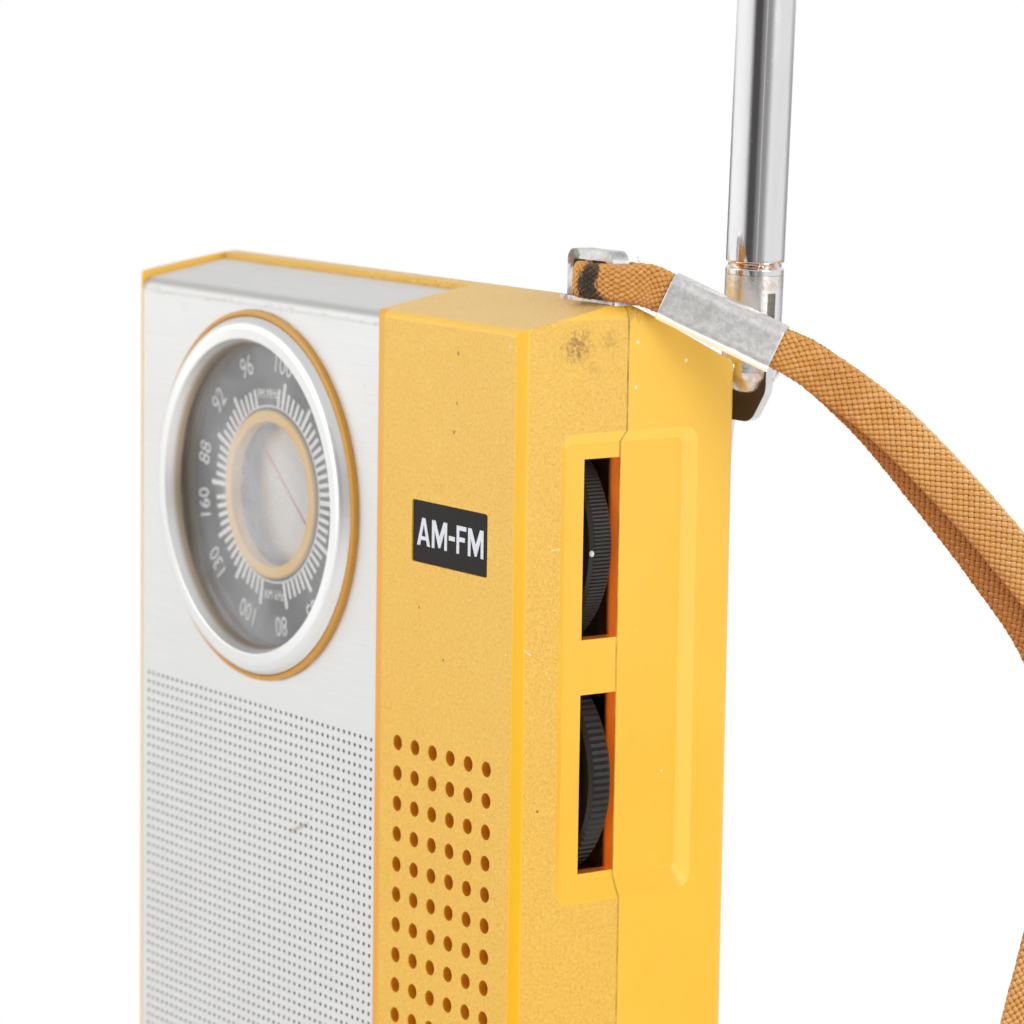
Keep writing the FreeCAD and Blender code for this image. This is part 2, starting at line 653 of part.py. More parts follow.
# ---------------------------------------------------------------- speaker
def swing(shape, degrees):
    """Turns a shape about the Y axis, then moves it to the speaker."""
    shape.rotate(Vector(0, 0, 0), Vector(0, 1, 0), degrees)
    shape.translate(Vector(SPEAKER_X, 0, SPEAKER_Z))
    return shape


@piece
def speaker_frame():
    """Basket with four windows."""
    frame = turn_y([(21.4, INNER_Y), (SPEAKER_R, INNER_Y), (SPEAKER_R, -9.9), (22.2, -9.9),
                    (12.6, -1.6), (12.6, 0.0), (5.0, 0.0), (5.0, -0.8), (11.8, -0.8),
                    (11.8, -2.0), (21.4, -10.1)], *SPEAKER)
    return cut_all(frame, [swing(box(-4.2, 4.2, -9.2, -2.6, 8, 22), 45 + 90 * k)
                           for k in range(4)])


@piece
def speaker_cone():
    return turn_y([(20.6, -9.95), (20.6, -9.65), (20.2, -9.5), (5.4, -3.6), (0, -4.6), (0, -5.0),
                   (5.2, -4.1), (19.8, -9.9), (20.1, -10.2), (20.45, -10.2)], *SPEAKER)


@piece
def speaker_voice_coil():
    return turn_y([(4.1, -3.45), (4.6, -3.45), (4.6, 1.6), (4.1, 1.6)], *SPEAKER)


@piece
def speaker_magnet():
    return turn_y([(0, MAGNET_Y1), (0, -0.6), (3.9, -0.6), (3.9, 3.0), (4.85, 3.0), (4.85, 0.0),
                   (10.5, 0.0), (10.5, MAGNET_Y1, 0.4)], *SPEAKER)


@piece
def speaker_clips():
    clips = []
    for degrees in (35, 145, 215, 325):
        clip = box(SPEAKER_R - 2.0, SPEAKER_R + 3.2, -9.85, -9.25, -2.2, 2.2)
        clip = clip.fuse(box(SPEAKER_R + 0.3, SPEAKER_R + 3.2, -10.85, -9.5, -2.2, 2.2))
        clips.append(swing(clip, -degrees))
    return group(clips)


# ---------------------------------------------------------------- batteries
def cell(x, z0, nub_up):
    shoulder = CELL_L - 1.2
    body = turn_z([(0, 0), (CELL_R, 0, 0.5), (CELL_R, shoulder, 0.6), (2.7, shoulder),
                   (2.7, CELL_L, 0.3), (0, CELL_L)], x, CELL_Y)
    if not nub_up:
        body.rotate(Vector(x, CELL_Y, CELL_L / 2.0), Vector(1, 0, 0), 180)
    body.translate(Vector(0, 0, z0))
    return body


def spring(x, z0, z1):
    """Coil spring between two heights."""
    coil_r, wire_r, turns = 3.4, 0.35, 3.5
    rise = z1 - z0 - 2 * wire_r
    steps = int(turns * 16)
    points = []
    for k in range(steps + 1):
        angle = 2 * math.pi * turns * k / steps
        points.append((x + coil_r * math.cos(angle), CELL_Y + coil_r * math.sin(angle),
                       z0 + wire_r + rise * k / steps))
    return wire_run(points, wire_r)


@piece
def battery_cells():
    return group([cell(CELL_A, 7.6, True), cell(CELL_B, 3.2, False)])


@piece
def battery_springs():
    return group([spring(CELL_A, 3.1, 7.5), spring(CELL_B, 53.9, 58.2)])


@piece
def battery_contacts():
    strips = ((13.0, 38.5, 2.7, 3.05), (14.0, 23.2, 58.3, 58.6), (28.4, 37.6, 58.3, 58.6))
    return group([plate(bounds, 0.0, 9.0) for bounds in strips])


@piece
def battery_door():
    door = plate(DOOR_INNER, INNER_BACK_Y - 0.2, BACK_Y - 0.9)
    door = door.fuse(plate(DOOR_OUTER, BACK_Y - 0.9, BACK_Y))
    for k in range(5):      # grip grooves
        z = 49.0 + 1.6 * k
        door = door.cut(box(20.0, 31.5, BACK_Y - 0.5, BACK_Y + 1, z, z + 0.8))
    return door


# ---------------------------------------------------------------- leads: (x, y, z) points
LEAD_R = 0.45


@piece
def speaker_leads():
    x, z, start_y = SPEAKER_X, SPEAKER_Z, MAGNET_Y1 + 0.5
    return group([
        wire_run([(x + 6, start_y, z + 3), (x + 9, 7.5, z + 16), (x + 4, 8.3, 60.0),
                  (x + 2, 7.2, 68.0)], LEAD_R),
        wire_run([(x + 6, start_y, z - 3), (x + 14, 7.8, z + 10), (x + 9, 8.5, 59.0),
                  (x + 6, 7.2, 67.0)], LEAD_R)])


@piece
def battery_leads():
    return group([
        wire_run([(19.0, 4.0, 61.2), (18.0, 7.6, 63.5), (17.0, 9.0, 66.0),
                  (16.0, 7.2, 70.0)], LEAD_R),
        wire_run([(33.0, 4.0, 61.2), (30.0, 8.0, 63.2), (25.0, 9.4, 67.0),
                  (21.0, 7.2, 70.0)], LEAD_R)])


@piece
def antenna_lead():
    return wire_run([(28.0, 7.9, 111.0), (25.0, 8.4, 109.0), (21.0, 8.6, 106.5),
                     (17.0, 7.2, 104.0)], LEAD_R)


@piece
def case_screws():
    seat, top = BACK_Y - 1.9, BACK_Y - 0.75
    screws = []
    for x, z in CASE_SCREWS:
        head = turn_y([(0, seat), (2.3, seat), (2.3, BACK_Y - 1.2), (1.7, top, 0.2), (0, top)],
                      x, z)
        screw = cyl_y(x, z, 0.98, -6.5, BACK_Y - 1.8).fuse(head)
        screws.append(cross_slot(screw, x, z, BACK_Y - 1.3, BACK_Y))
    return group(screws)


# ---------------------------------------------------------------- strap bracket
@piece
def strap_bracket():
    """Closed loop of flat strip through the ridge."""
    bar_z = LOOP_BAR[2]
    x0, x1, top = LOOP_X0 + STRIP_T, LOOP_X1 - STRIP_T, LOOP_TOP - STRIP_T
    loop = prism([(LOOP_X0, bar_z + 0.6), (LOOP_X0, LOOP_TOP, 1.3), (LOOP_X1, LOOP_TOP, 1.3),
                  (LOOP_X1, bar_z + 0.6)], "xz", -STRIP_W / 2, STRIP_W / 2)
    loop = loop.cut(prism([(x0, bar_z), (x0, top, 0.4), (x1, top, 0.4), (x1, bar_z)],
                          "xz", -5, 5))
    return loop.fuse(plate(LOOP_BAR, -STRIP_W / 2, STRIP_W / 2))


# ---------------------------------------------------------------- wrist strap and ferrule
# The strap hangs in an upright plane at 45 degrees to the X axis.
FERRULE_START = Vector(43.2, 4.2, 128.85)
FERRULE_END = Vector(51.9, 12.9, 123.35)
DIAGONAL = math.sqrt(0.5)
FERRULE_RUN = math.hypot(FERRULE_END.x - FERRULE_START.x, FERRULE_END.y - FERRULE_START.y)
STRAP_HALF_T = 1.85

# (distance along the plane from FERRULE_START, z)
STRAP_END_TOP = [(-1.5, 131.6), (0.0, 131.15), (FERRULE_RUN, 125.65)]
STRAP_END_BOTTOM = [(FERRULE_RUN, 121.05), (0.0, 126.55), (-1.5, 127.4)]
STRAP_OUTER = [
    (19.7, 122.3), (26.3, 117.6), (33.1, 111.0), (39.3, 104.4), (46.0, 96.0), (52.0, 86.0),
    (56.8, 74.0), (59.8, 61.0), (60.8, 48.0), (60.0, 36.0), (57.0, 25.5), (51.5, 19.2),
    (45.0, 18.0), (39.5, 21.5), (36.5, 29.0), (36.6, 39.0), (38.6, 50.0), (41.0, 61.0),
    (42.6, 71.0), (42.3, 81.0), (39.8, 90.0), (33.4, 99.2), (26.6, 107.4), (21.0, 114.3),
    (15.9, 119.1)]
STRAP_INNER = [
    (48.2, 80.5), (50.4, 77.5), (52.4, 72.6), (55.3, 60.3), (56.2, 48.0), (55.5, 36.8),
    (52.9, 27.6), (49.1, 23.1), (45.9, 22.5), (43.2, 24.3), (41.0, 29.8), (41.2, 38.5),
    (43.1, 49.1), (45.5, 60.1), (47.2, 70.7), (47.6, 77.5)]


def strap_point(along, z, across):
    return Vector(FERRULE_START.x + DIAGONAL * (along + across),
                  FERRULE_START.y + DIAGONAL * (along - across), z)


def strap_slab(points, half_t):
    corners = [strap_point(along, z, -half_t) for along, z in points]
    face = Part.Face(Part.makePolygon(corners + corners[:1]))
    return face.extrude(Vector(DIAGONAL, -DIAGONAL, 0) * (2 * half_t))


def neck_section(along, z0, z1, half_t):
    corners = [strap_point(along, z, across) for z, across in
               ((z0, -half_t), (z0, half_t), (z1, half_t), (z1, -half_t))]
    return Part.makePolygon(corners + corners[:1])


@piece
def wrist_strap():
    body = strap_slab(STRAP_END_TOP + STRAP_OUTER + STRAP_END_BOTTOM, STRAP_HALF_T)
    body = body.cut(strap_slab(STRAP_INNER, 3))
    # eye round the right leg of the bracket
    eye = prism([(-5.0, -2.45, 2.3), (3.4, -2.45, 0.6), (3.4, 2.45, 0.6), (-5.0, 2.45, 2.3)],
                "xy", 128.35, 132.0)
    eye = eye.cut(prism(rect(-3.4, 1.6, -1.42, 1.42, 1.3), "xy", 128, 134))
    eye.rotate(Vector(0, 0, 0), Vector(0, 0, 1), 25.0)
    eye.translate(Vector(LOOP_X1 - STRIP_T / 2.0, 0, 0))
    neck = loft(neck_section(-3.2, 128.4, 132.0, 1.9),
                neck_section(-1.4, 127.4, 131.55, STRAP_HALF_T))
    return eye.fuse(neck).fuse(body)


@piece
def strap_ferrule():
    """Flattened tube along the sloping end of the strap."""
    axis = FERRULE_END - FERRULE_START
    length = axis.Length
    axis.normalize()
    side = Vector(DIAGONAL, -DIAGONAL, 0)
    up = side.cross(axis)
    up.normalize()

    def bar(start, half_h, half_w, radius, bar_length):
        origin = FERRULE_START + axis * start
        section = outline(rect(-half_h, half_h, -half_w, half_w, radius),
                          lambda u, v: origin + up * u + side * v)
        return Part.Face(section).extrude(axis * bar_length)

    return bar(0.0, 2.65, 2.35, 0.7, length).cut(bar(-1.0, 2.27, 1.95, 0.45, length + 2))


# ---------------------------------------------------------------- telescopic antenna
TUBE_R1 = 2.70          # neck of the knuckle, inside the first tube


@piece
def antenna_bracket():
    """Foot on the back of the case, with an upright tongue that holds the pin."""
    bracket = prism([(33.0, 108.0, 0.8), (35.6, 108.0, 0.8), (36.3, 113.7, 0.6),
                     (40.3, 113.7, 2.4), (42.9, 117.4, 2.4), (42.9, 123.2, 3.1),
                     (36.2, 123.2, 3.1), (36.2, 116.0, 0.5), (33.0, 116.0, 0.4)],
                    "xz", ANTENNA_Y - 0.5, ANTENNA_Y + 0.5)
    bracket = bracket.fuse(box(33.0, 33.9, BACK_Y, ANTENNA_Y + 0.5, 108.0, 116.0))
    bracket = bracket.fuse(prism([(24.0, 106.0, 2.0), (33.9, 106.0, 0.8), (33.9, 116.0, 0.5),
                                  (24.0, 116.0, 2.0)], "xz", BACK_Y, BACK_Y + 0.9))
    return cut_all(bracket, [cyl_y(ANTENNA_X, PIN_Z, 1.05, 17, 21),
                             cyl_y(*ANTENNA_SCREW, 1.3, 13, 17)])


@piece
def antenna_bracket_screw():
    seat, top = BACK_Y + 0.9, BACK_Y + 2.1
    screw = cyl_y(*ANTENNA_SCREW, 0.98, 8.9, BACK_Y + 1.0)
    screw = screw.fuse(turn_y([(0, seat), (2.3, seat), (2.1, BACK_Y + 1.6), (1.2, top, 0.3),
                               (0, top)], *ANTENNA_SCREW))
    return cross_slot(screw, *ANTENNA_SCREW, BACK_Y + 1.6, BACK_Y + 3)


def lean(shape):
    """Tilts an antenna piece, built upright, about the pin."""
    shape.rotate(Vector(*ANTENNA, PIN_Z), Vector(0, 1, 0), ANTENNA_LEAN)
    return shape


def inner_tube(outer_r, inner_r, z0, z1):
    return lean(turn_z([(outer_r, z0), (outer_r, z1, 0.2), (inner_r, z1), (inner_r, z0)],
                       *ANTENNA))


@piece
def antenna_knuckle():
    """Round bar with a rounded end slotted for the tongue, and a neck in the first tube."""
    knuckle = turn_z([(0, 117.0), (1.6, 117.0, 1.2), (3.25, 118.9, 1.6), (ANTENNA_R, 130.3),
                      (TUBE_R1, 130.3), (TUBE_R1, 136.0, 0.3), (0, 136.0)], *ANTENNA)
    knuckle = knuckle.cut(box(ANTENNA_X - 5, ANTENNA_X + 5, ANTENNA_Y - 0.56, ANTENNA_Y + 0.56,
                              110, 128.4))
    return lean(knuckle.cut(cyl_y(ANTENNA_X, PIN_Z, 1.0, 10, 30)))


@piece
def antenna_pin():
    y0, y1 = ANTENNA_Y - 3.35, ANTENNA_Y + 3.35
    return lean(turn_y([(0, y0), (1.0, y0, 0.25), (1.0, y1, 0.25), (0, y1)], ANTENNA_X, PIN_Z))


@piece
def antenna_tube_1():
    """Outer tube with a rolled groove and a round dimple near its foot."""
    bore_r = TUBE_R1 + 0.02
    tube = turn_z([(ANTENNA_R, 130.35), (ANTENNA_R, 130.95, 0.1), (2.98, 131.2, 0.1),
                   (2.98, 131.55, 0.1), (ANTENNA_R, 131.8, 0.1), (ANTENNA_R, 194.0, 0.25),
                   (bore_r, 194.0), (bore_r, 130.35)], *ANTENNA)
    dimple = Vector(*ANTENNA, 131.35) + Vector(0.894, -0.42, 0) * ANTENNA_R
    return lean(tube.cut(Part.makeSphere(0.42, dimple)))


@piece
def antenna_tube_2():
    return inner_tube(2.65, 2.20, 136.8, 195.0)


@piece
def antenna_tube_3():
    return inner_tube(2.12, 1.70, 137.6, 196.0)


@piece
def antenna_rod():
    return lean(Part.makeCylinder(1.62, 197.0 - 138.4, Vector(*ANTENNA, 138.4)))


@piece
def antenna_tip():
    return lean(turn_z([(0, 197.0), (3.1, 197.0, 0.4), (3.1, 199.6, 0.4), (2.2, 200.6, 0.5),
                        (0, 200.6)], *ANTENNA))


os.makedirs("parts", exist_ok=True)
for build in PIECES:
    clean(build()).exportStep(os.path.join("parts", build.__name__ + ".step"))
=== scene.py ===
# A pocket radio in an orange case with a brushed, perforated front plate, a round tuning dial,
# a telescopic antenna and a braided wrist strap. The case stands upright on the floor: X runs
# across it (+X is the right side seen from the front), -Y is the front and +Z is up.
# Sizes are in millimetres unless a comment says otherwise; MM turns them into metres.
import bpy
import bmesh
import math
import random
import numpy as np
from mathutils import Matrix, Vector, geometry

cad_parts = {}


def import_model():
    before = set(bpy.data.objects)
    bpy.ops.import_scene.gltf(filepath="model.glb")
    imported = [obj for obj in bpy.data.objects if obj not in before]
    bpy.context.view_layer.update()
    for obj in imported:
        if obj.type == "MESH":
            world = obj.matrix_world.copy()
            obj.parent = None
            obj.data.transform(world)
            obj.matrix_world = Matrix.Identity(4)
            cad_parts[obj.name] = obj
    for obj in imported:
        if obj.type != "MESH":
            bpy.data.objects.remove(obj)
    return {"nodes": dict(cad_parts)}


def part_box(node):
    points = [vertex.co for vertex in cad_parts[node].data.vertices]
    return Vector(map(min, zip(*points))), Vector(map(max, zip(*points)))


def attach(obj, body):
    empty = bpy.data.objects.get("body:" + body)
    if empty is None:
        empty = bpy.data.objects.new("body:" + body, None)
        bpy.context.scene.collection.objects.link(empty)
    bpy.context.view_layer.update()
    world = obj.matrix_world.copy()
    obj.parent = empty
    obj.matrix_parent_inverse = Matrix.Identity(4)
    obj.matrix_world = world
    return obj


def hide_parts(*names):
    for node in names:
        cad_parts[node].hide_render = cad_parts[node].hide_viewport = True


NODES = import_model()["nodes"]
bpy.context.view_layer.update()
MM = 0.001
DIAGONAL = math.sqrt(0.5)


def unit(vectors):
    """A vector, or each row of an array, scaled to length 1."""
    return vectors / np.linalg.norm(vectors, axis=-1, keepdims=True)


# Places shared by several pieces
DIAL_X, DIAL_Z = -13.5, 101.1                      # dial axis, along Y
FERRULE_TOP = np.array((43.2, 4.2, 128.85))        # ends of the strap ferrule's axis
FERRULE_END = np.array((51.9, 12.9, 123.35))
FERRULE_LENGTH = float(np.linalg.norm(FERRULE_END - FERRULE_TOP))
FERRULE_AXIS = unit(FERRULE_END - FERRULE_TOP)
STRAP_SIDE = np.array((DIAGONAL, -DIAGONAL, 0.0))  # level, square to the strap's hanging plane


# ------------------------------------------------------------------ shader writing
class Signal:
    """A node output usable in arithmetic. Vectors and colours use vector math."""

    def __init__(self, shader, socket):
        self.shader = shader
        self.socket = socket

    def calc(self, operation, *values):
        if self.socket.type == "VALUE":
            return self.shader.math(operation, *values)
        return self.shader.vector_math(operation, *values)

    def __add__(self, other):
        return self.calc("ADD", self, other)

    def __radd__(self, other):
        return self.calc("ADD", other, self)

    def __sub__(self, other):
        return self.calc("SUBTRACT", self, other)

    def __rsub__(self, other):
        return self.calc("SUBTRACT", other, self)

    def __mul__(self, other):
        return self.calc("MULTIPLY", self, other)

    def __rmul__(self, other):
        return self.calc("MULTIPLY", other, self)

    def __truediv__(self, other):
        return self.calc("DIVIDE", self, other)

    def __pow__(self, other):
        return self.calc("POWER", self, other)

    def __neg__(self):
        return self * -1.0

    def __abs__(self):
        return self.calc("ABSOLUTE", self)

    def sqrt(self):
        return self.calc("SQRT", self)

    def fraction(self):
        return self.calc("FRACT", self)

    def max(self, other):
        return self.calc("MAXIMUM", self, other)

    def dot(self, other):
        return self.calc("DOT_PRODUCT", self, other)

    def distance(self, point):
        return self.calc("DISTANCE", self, point)

    def length(self):
        return self.calc("LENGTH", self)

    def split(self):
        node = self.shader.node("ShaderNodeSeparateXYZ", {0: self}).socket.node
        return [Signal(self.shader, socket) for socket in node.outputs]

    def sibling(self, output):
        """Another output of the same node."""
        return Signal(self.shader, self.socket.node.outputs[output])

    def ramp(self, zero, one, low=0.0, high=1.0):
        """Smooth step from low, where the value is zero, to high, where it is one."""
        if zero > one:
            zero, one, low, high = one, zero, high, low
        limits = {"From Min": zero, "From Max": one, "To Min": low, "To Max": high}
        return self.shader.node("ShaderNodeMapRange", {"Value": self, **limits},
                                interpolation_type="SMOOTHSTEP")

    def band(self, first, second):
        """Product of two ramps. Each pair is (value giving zero, value giving one)."""
        return self.ramp(*first) * self.ramp(*second)

    def lerp(self, at_zero, at_one):
        """Number that runs from at_zero to at_one as this signal runs from 0 to 1."""
        return self.shader.node("ShaderNodeMix", {0: self, 2: at_zero, 3: at_one},
                                data_type="FLOAT")

    def blend(self, at_zero, at_one):
        """The same for colours."""
        return self.shader.node("ShaderNodeMix", {0: self, 6: at_zero, 7: at_one}, 2,
                                data_type="RGBA")


class Shader:
    """Writes one node tree, keeping the colour and normal built up so far."""

    def __init__(self, owner, output="ShaderNodeOutputMaterial"):
        owner.use_nodes = True
        self.owner = owner
        self.tree = owner.node_tree
        self.tree.nodes.clear()
        self.output = self.tree.nodes.new(output)
        self.colour = None
        self.normal = None

    def feed(self, socket, value):
        if isinstance(value, Signal):
            self.tree.links.new(value.socket, socket)
        elif socket.type == "RGBA":
            socket.default_value = (*value, 1.0)
        elif socket.type == "VECTOR":
            socket.default_value = tuple(np.full(3, value, float))
        else:
            socket.default_value = value

    def node(self, kind, inputs={}, output=0, **settings):
        node = self.tree.nodes.new(kind)
        for key, value in settings.items():
            setattr(node, key, value)
        for key, value in inputs.items():
            self.feed(node.inputs[key], value)
        return Signal(self, node.outputs[output])

    def math(self, operation, *values):
        return self.node("ShaderNodeMath", dict(enumerate(values)), operation=operation)

    def vector_math(self, operation, *values):
        scalar = operation in ("LENGTH", "DISTANCE", "DOT_PRODUCT")
        return self.node("ShaderNodeVectorMath", dict(enumerate(values)),
                         "Value" if scalar else 0, operation=operation)

    def combine(self, x, y, z):
        return self.node("ShaderNodeCombineXYZ", {0: x, 1: y, 2: z})

    def facing(self):
        return self.node("ShaderNodeNewGeometry", output="Normal")

    def noise(self, scale=1.0, detail=2.0, rough=0.5, distortion=0.0, at=None, output=0):
        inputs = {"Vector": at or self.place, "Scale": scale, "Detail": detail,
                  "Roughness": rough, "Distortion": distortion}
        return self.node("ShaderNodeTexNoise", inputs, output)

    def cells(self, scale, at=None, feature="F1", output="Distance"):
        return self.node("ShaderNodeTexVoronoi", {"Vector": at or self.place, "Scale": scale},
                         output, feature=feature)

    def coat(self, mask, colour, amount=None):
        """Lays a colour over the present one where the mask is on."""
        if amount is not None:
            mask = mask * amount
        self.colour = mask.blend(self.colour, colour)

    def relief(self, height, depth):
        """Adds a bump of this depth (mm) to the present normal."""
        inputs = {"Strength": 1.0, "Distance": depth * MM, "Height": height}
        if self.normal is not None:
            inputs["Normal"] = self.normal
        self.normal = self.node("ShaderNodeBump", inputs)

    def close(self, surface):
        self.feed(self.output.inputs["Surface"], surface)
        return self.owner

    def finish(self, **inputs):
        """Ends the tree in a principled surface of the present colour and normal."""
        inputs = {key.replace("_", " "): value for key, value in inputs.items()}
        inputs.update({"Base Color": self.colour, "Normal": self.normal})
        return self.close(self.node("ShaderNodeBsdfPrincipled", inputs))


def new_material(name):
    """A shader whose place is the object coordinate in millimetres."""
    mat = Shader(bpy.data.materials.new(name))
    metres = mat.node("ShaderNodeTexCoord", output="Object")
    mat.place = mat.node("ShaderNodeVectorMath", {0: metres, "Scale": 1000.0},
                         operation="SCALE")
    return mat


def hypot(first, second):
    return (first * first + second * second).sqrt()


def shade(colour, factor):
    return tuple(min(1.0, channel * factor) for channel in colour)


def from_line(mat, start, end):
    """Position along a straight line, distance from it, and the line's length."""
    start, end = np.array(start), np.array(end)
    direction = unit(end - start)
    offset = mat.place - start
    along = offset.dot(direction)
    away = (offset - mat.combine(along, along, along) * direction).length()
    return along, away, float(np.linalg.norm(end - start))


def ragged_spot(mat, centre, radius, breakup, spread, zero, one):
    """Round spot whose rim is broken up by a noise; spread is how far."""
    reach = mat.place.distance(centre) / radius
    return (reach + (breakup - 0.5) * spread).ramp(zero=zero, one=one)


# ------------------------------------------------------------------ orange plastic
# Dirt speckles near the strap: centre, radius, amount
SPECKLES = (
    ((42.0, -6.9, 123.5), 3.4, 0.85), ((42.0, -2.6, 123.9), 2.3, 0.34),
    ((42.0, -4.6, 120.9), 1.6, 0.22), ((37.2, -1.8, 127.8), 4.3, 0.62),
    ((41.2, 0.6, 126.4), 2.4, 0.50), ((33.0, -1.2, 127.8), 2.2, 0.40),
)
# Small brown spots: centre, radius
SPOTS = (
    ((30.1, -14.2, 122.0), 0.26), ((29.97, -14.2, 116.5), 0.22), ((29.44, -14.2, 113.3), 0.25),
    ((27.9, -14.2, 87.8), 0.2), ((23.0, -14.2, 93.0), 0.18), ((33.5, -14.2, 44.0), 0.22),
    ((42.0, -11.2, 73.0), 0.2), ((42.0, -12.0, 34.0), 0.25),
)
# Pale dust grains: centre
GRAINS = ((42.0, 1.25, 123.6), (42.0, 7.9, 121.3), (42.0, 1.1, 118.7))
# Scratches on the front right edge: start, end, half width
SCRATCHES = (
    ((42.0, -9.9, 101.55), (42.0, -7.3, 101.7), 0.07),
    ((42.0, -13.4, 91.0), (42.0, -12.4, 90.3), 0.08),
)


def leather_grain(mat, position, facing, rough):
    """Pebbled grain with painted shade and sheen, and painted shade in the openings in the front.

    Returns the roughness and the mask of the slots at the lower right of the front.
    """
    x, y, z = position
    face_x, face_y, face_z = facing
    front = (-face_y).ramp(zero=0.975, one=0.997)
    right = face_x.ramp(zero=0.975, one=0.997) * abs(x).ramp(zero=41.80, one=41.95)
    left = (-face_x).ramp(zero=0.975, one=0.997)
    top = face_z.ramp(zero=0.955, one=0.978)
    mask = front.max(right).max(top.max(left))
    # smooth border along the left edge of the raised panel
    strip = x.band((13.0, 13.3), (15.75, 15.05)) * y.ramp(zero=-13.0, one=-13.3)
    mask = mask * (1.0 - strip)
    warp = (mat.noise(scale=1.5, output="Color") - 0.5) * 1.3
    edge = mat.cells(scale=1.25, at=mat.place + warp, feature="DISTANCE_TO_EDGE")
    crease = edge.ramp(zero=0.0, one=0.24)
    pebble = mat.noise(scale=2.6, rough=0.55)
    hair = mat.noise(scale=5.5, detail=3.0, rough=0.65)
    mat.relief((crease * 0.26 + (pebble * 1.45 + hair * 0.45)) * mask, depth=0.17)
    # painted shade in the creases and hollows of the grain
    low = (1.0 - crease.lerp(0.72, 1.0) * pebble.ramp(zero=0.32, one=0.56)) * mask
    mat.coat(low, colour=(0.74, 0.32, 0.02), amount=0.34)
    # painted highlight on the crests, and a pale painted sheen over the grained faces
    rubbed = hair.ramp(zero=0.46, one=0.66) * pebble.ramp(zero=0.46, one=0.66) * mask
    mat.coat(rubbed, colour=(0.93, 0.66, 0.28), amount=0.42)
    mat.coat(mask, colour=(0.93, 0.72, 0.42), amount=0.10)
    rough = mask.lerp(rough, crease.lerp(0.62, 0.44))

    radius = hypot(x - DIAL_X, z - DIAL_Z)
    dial_step = radius.ramp(zero=22.6, one=22.3) * y.ramp(zero=-12.0, one=-12.4)
    hole_wall = radius.ramp(zero=20.5, one=20.0) * z.ramp(zero=70.0, one=75.0)
    fillet = (-face_x).ramp(zero=0.05, one=0.55) * x.band((13.0, 13.3), (15.4, 15.0))
    mat.coat(strip, colour=(0.80, 0.325, 0.008), amount=0.90)
    # painted shade on the left-facing fillet of the raised panel, by the plate
    mat.coat(fillet, colour=(0.58, 0.19, 0.010), amount=0.75)
    # painted sheen on the faces turned up
    mat.coat(top, colour=(0.95, 0.72, 0.42), amount=0.26)
    rough = (top * 0.8).lerp(rough, 0.36)
    # painted shade on the orange collar next to the dial bezel
    mat.coat(dial_step, colour=(0.46, 0.15, 0.012), amount=0.62)
    # painted shade, near black, on the wall of the dial's hole in the shell
    mat.coat(hole_wall, colour=(0.035, 0.030, 0.030), amount=0.93)
    # painted shade, deep red-orange, on the walls of the slots at the lower right of the front
    slots = (y.band((-14.18, -14.08), (-12.0, -12.6)) * x.band((17.3, 17.7), (38.0, 37.6))
             * z.band((78.4, 78.0), (4.0, 5.0)))
    mat.coat(slots, colour=(0.55, 0.19, 0.006), amount=0.80)
    return rough, slots


def shell_dirt(mat, y, z):
    """Dirt in the joint between the shells, speckles, dust and scratches."""
    joint = abs(y).ramp(zero=0.15, one=0.04)
    ragged = mat.noise(at=mat.place * (1.0, 1.0, 0.45), scale=0.8, detail=4.0, rough=0.7)
    ragged = ragged.ramp(zero=0.36, one=0.62)
    upper = z.ramp(zero=88.0, one=114.0)
    mat.coat(joint * (ragged.lerp(0.30, 0.90) * upper.lerp(0.62, 1.0)),
             colour=(0.20, 0.085, 0.018))
    mat.relief(1.0 - joint, depth=0.07)

    speck = mat.noise(scale=1.9, detail=5.0, rough=0.75)
    for centre, radius, amount in SPECKLES:
        reach = mat.place.distance(centre) / radius
        density = (speck + reach.ramp(zero=1.0, one=0.0) * 0.16).ramp(zero=0.52, one=0.72)
        mat.coat(reach.ramp(zero=1.0, one=0.15) * density,
                 colour=(0.22, 0.085, 0.022), amount=amount)
    for centre, radius in SPOTS:
        spot = mat.place.distance(centre).ramp(zero=radius * 1.3, one=radius * 0.5)
        mat.coat(spot, colour=(0.30, 0.10, 0.02), amount=0.8)
    # flecks sit at cell centres, in the cells that a random colour picks
    fleck = mat.cells(scale=0.17).ramp(zero=0.030, one=0.012)
    chosen = mat.cells(scale=0.17, output="Color").split()[0].ramp(zero=0.55, one=0.60)
    mat.coat(fleck * chosen, colour=(0.95, 0.90, 0.80), amount=0.75)
    for centre in GRAINS:
        mat.coat(mat.place.distance(centre).ramp(zero=0.26, one=0.12),
                 colour=(0.95, 0.93, 0.88), amount=0.9)
    for start, end, half in SCRATCHES:
        along, away, length = from_line(mat, start, end)
        inside = along.band((-0.1, 0.1), (length + 0.1, length - 0.1))
        mat.coat(inside * away.ramp(zero=half * 1.4, one=half * 0.5),
                 colour=(0.95, 0.86, 0.66), amount=0.7)


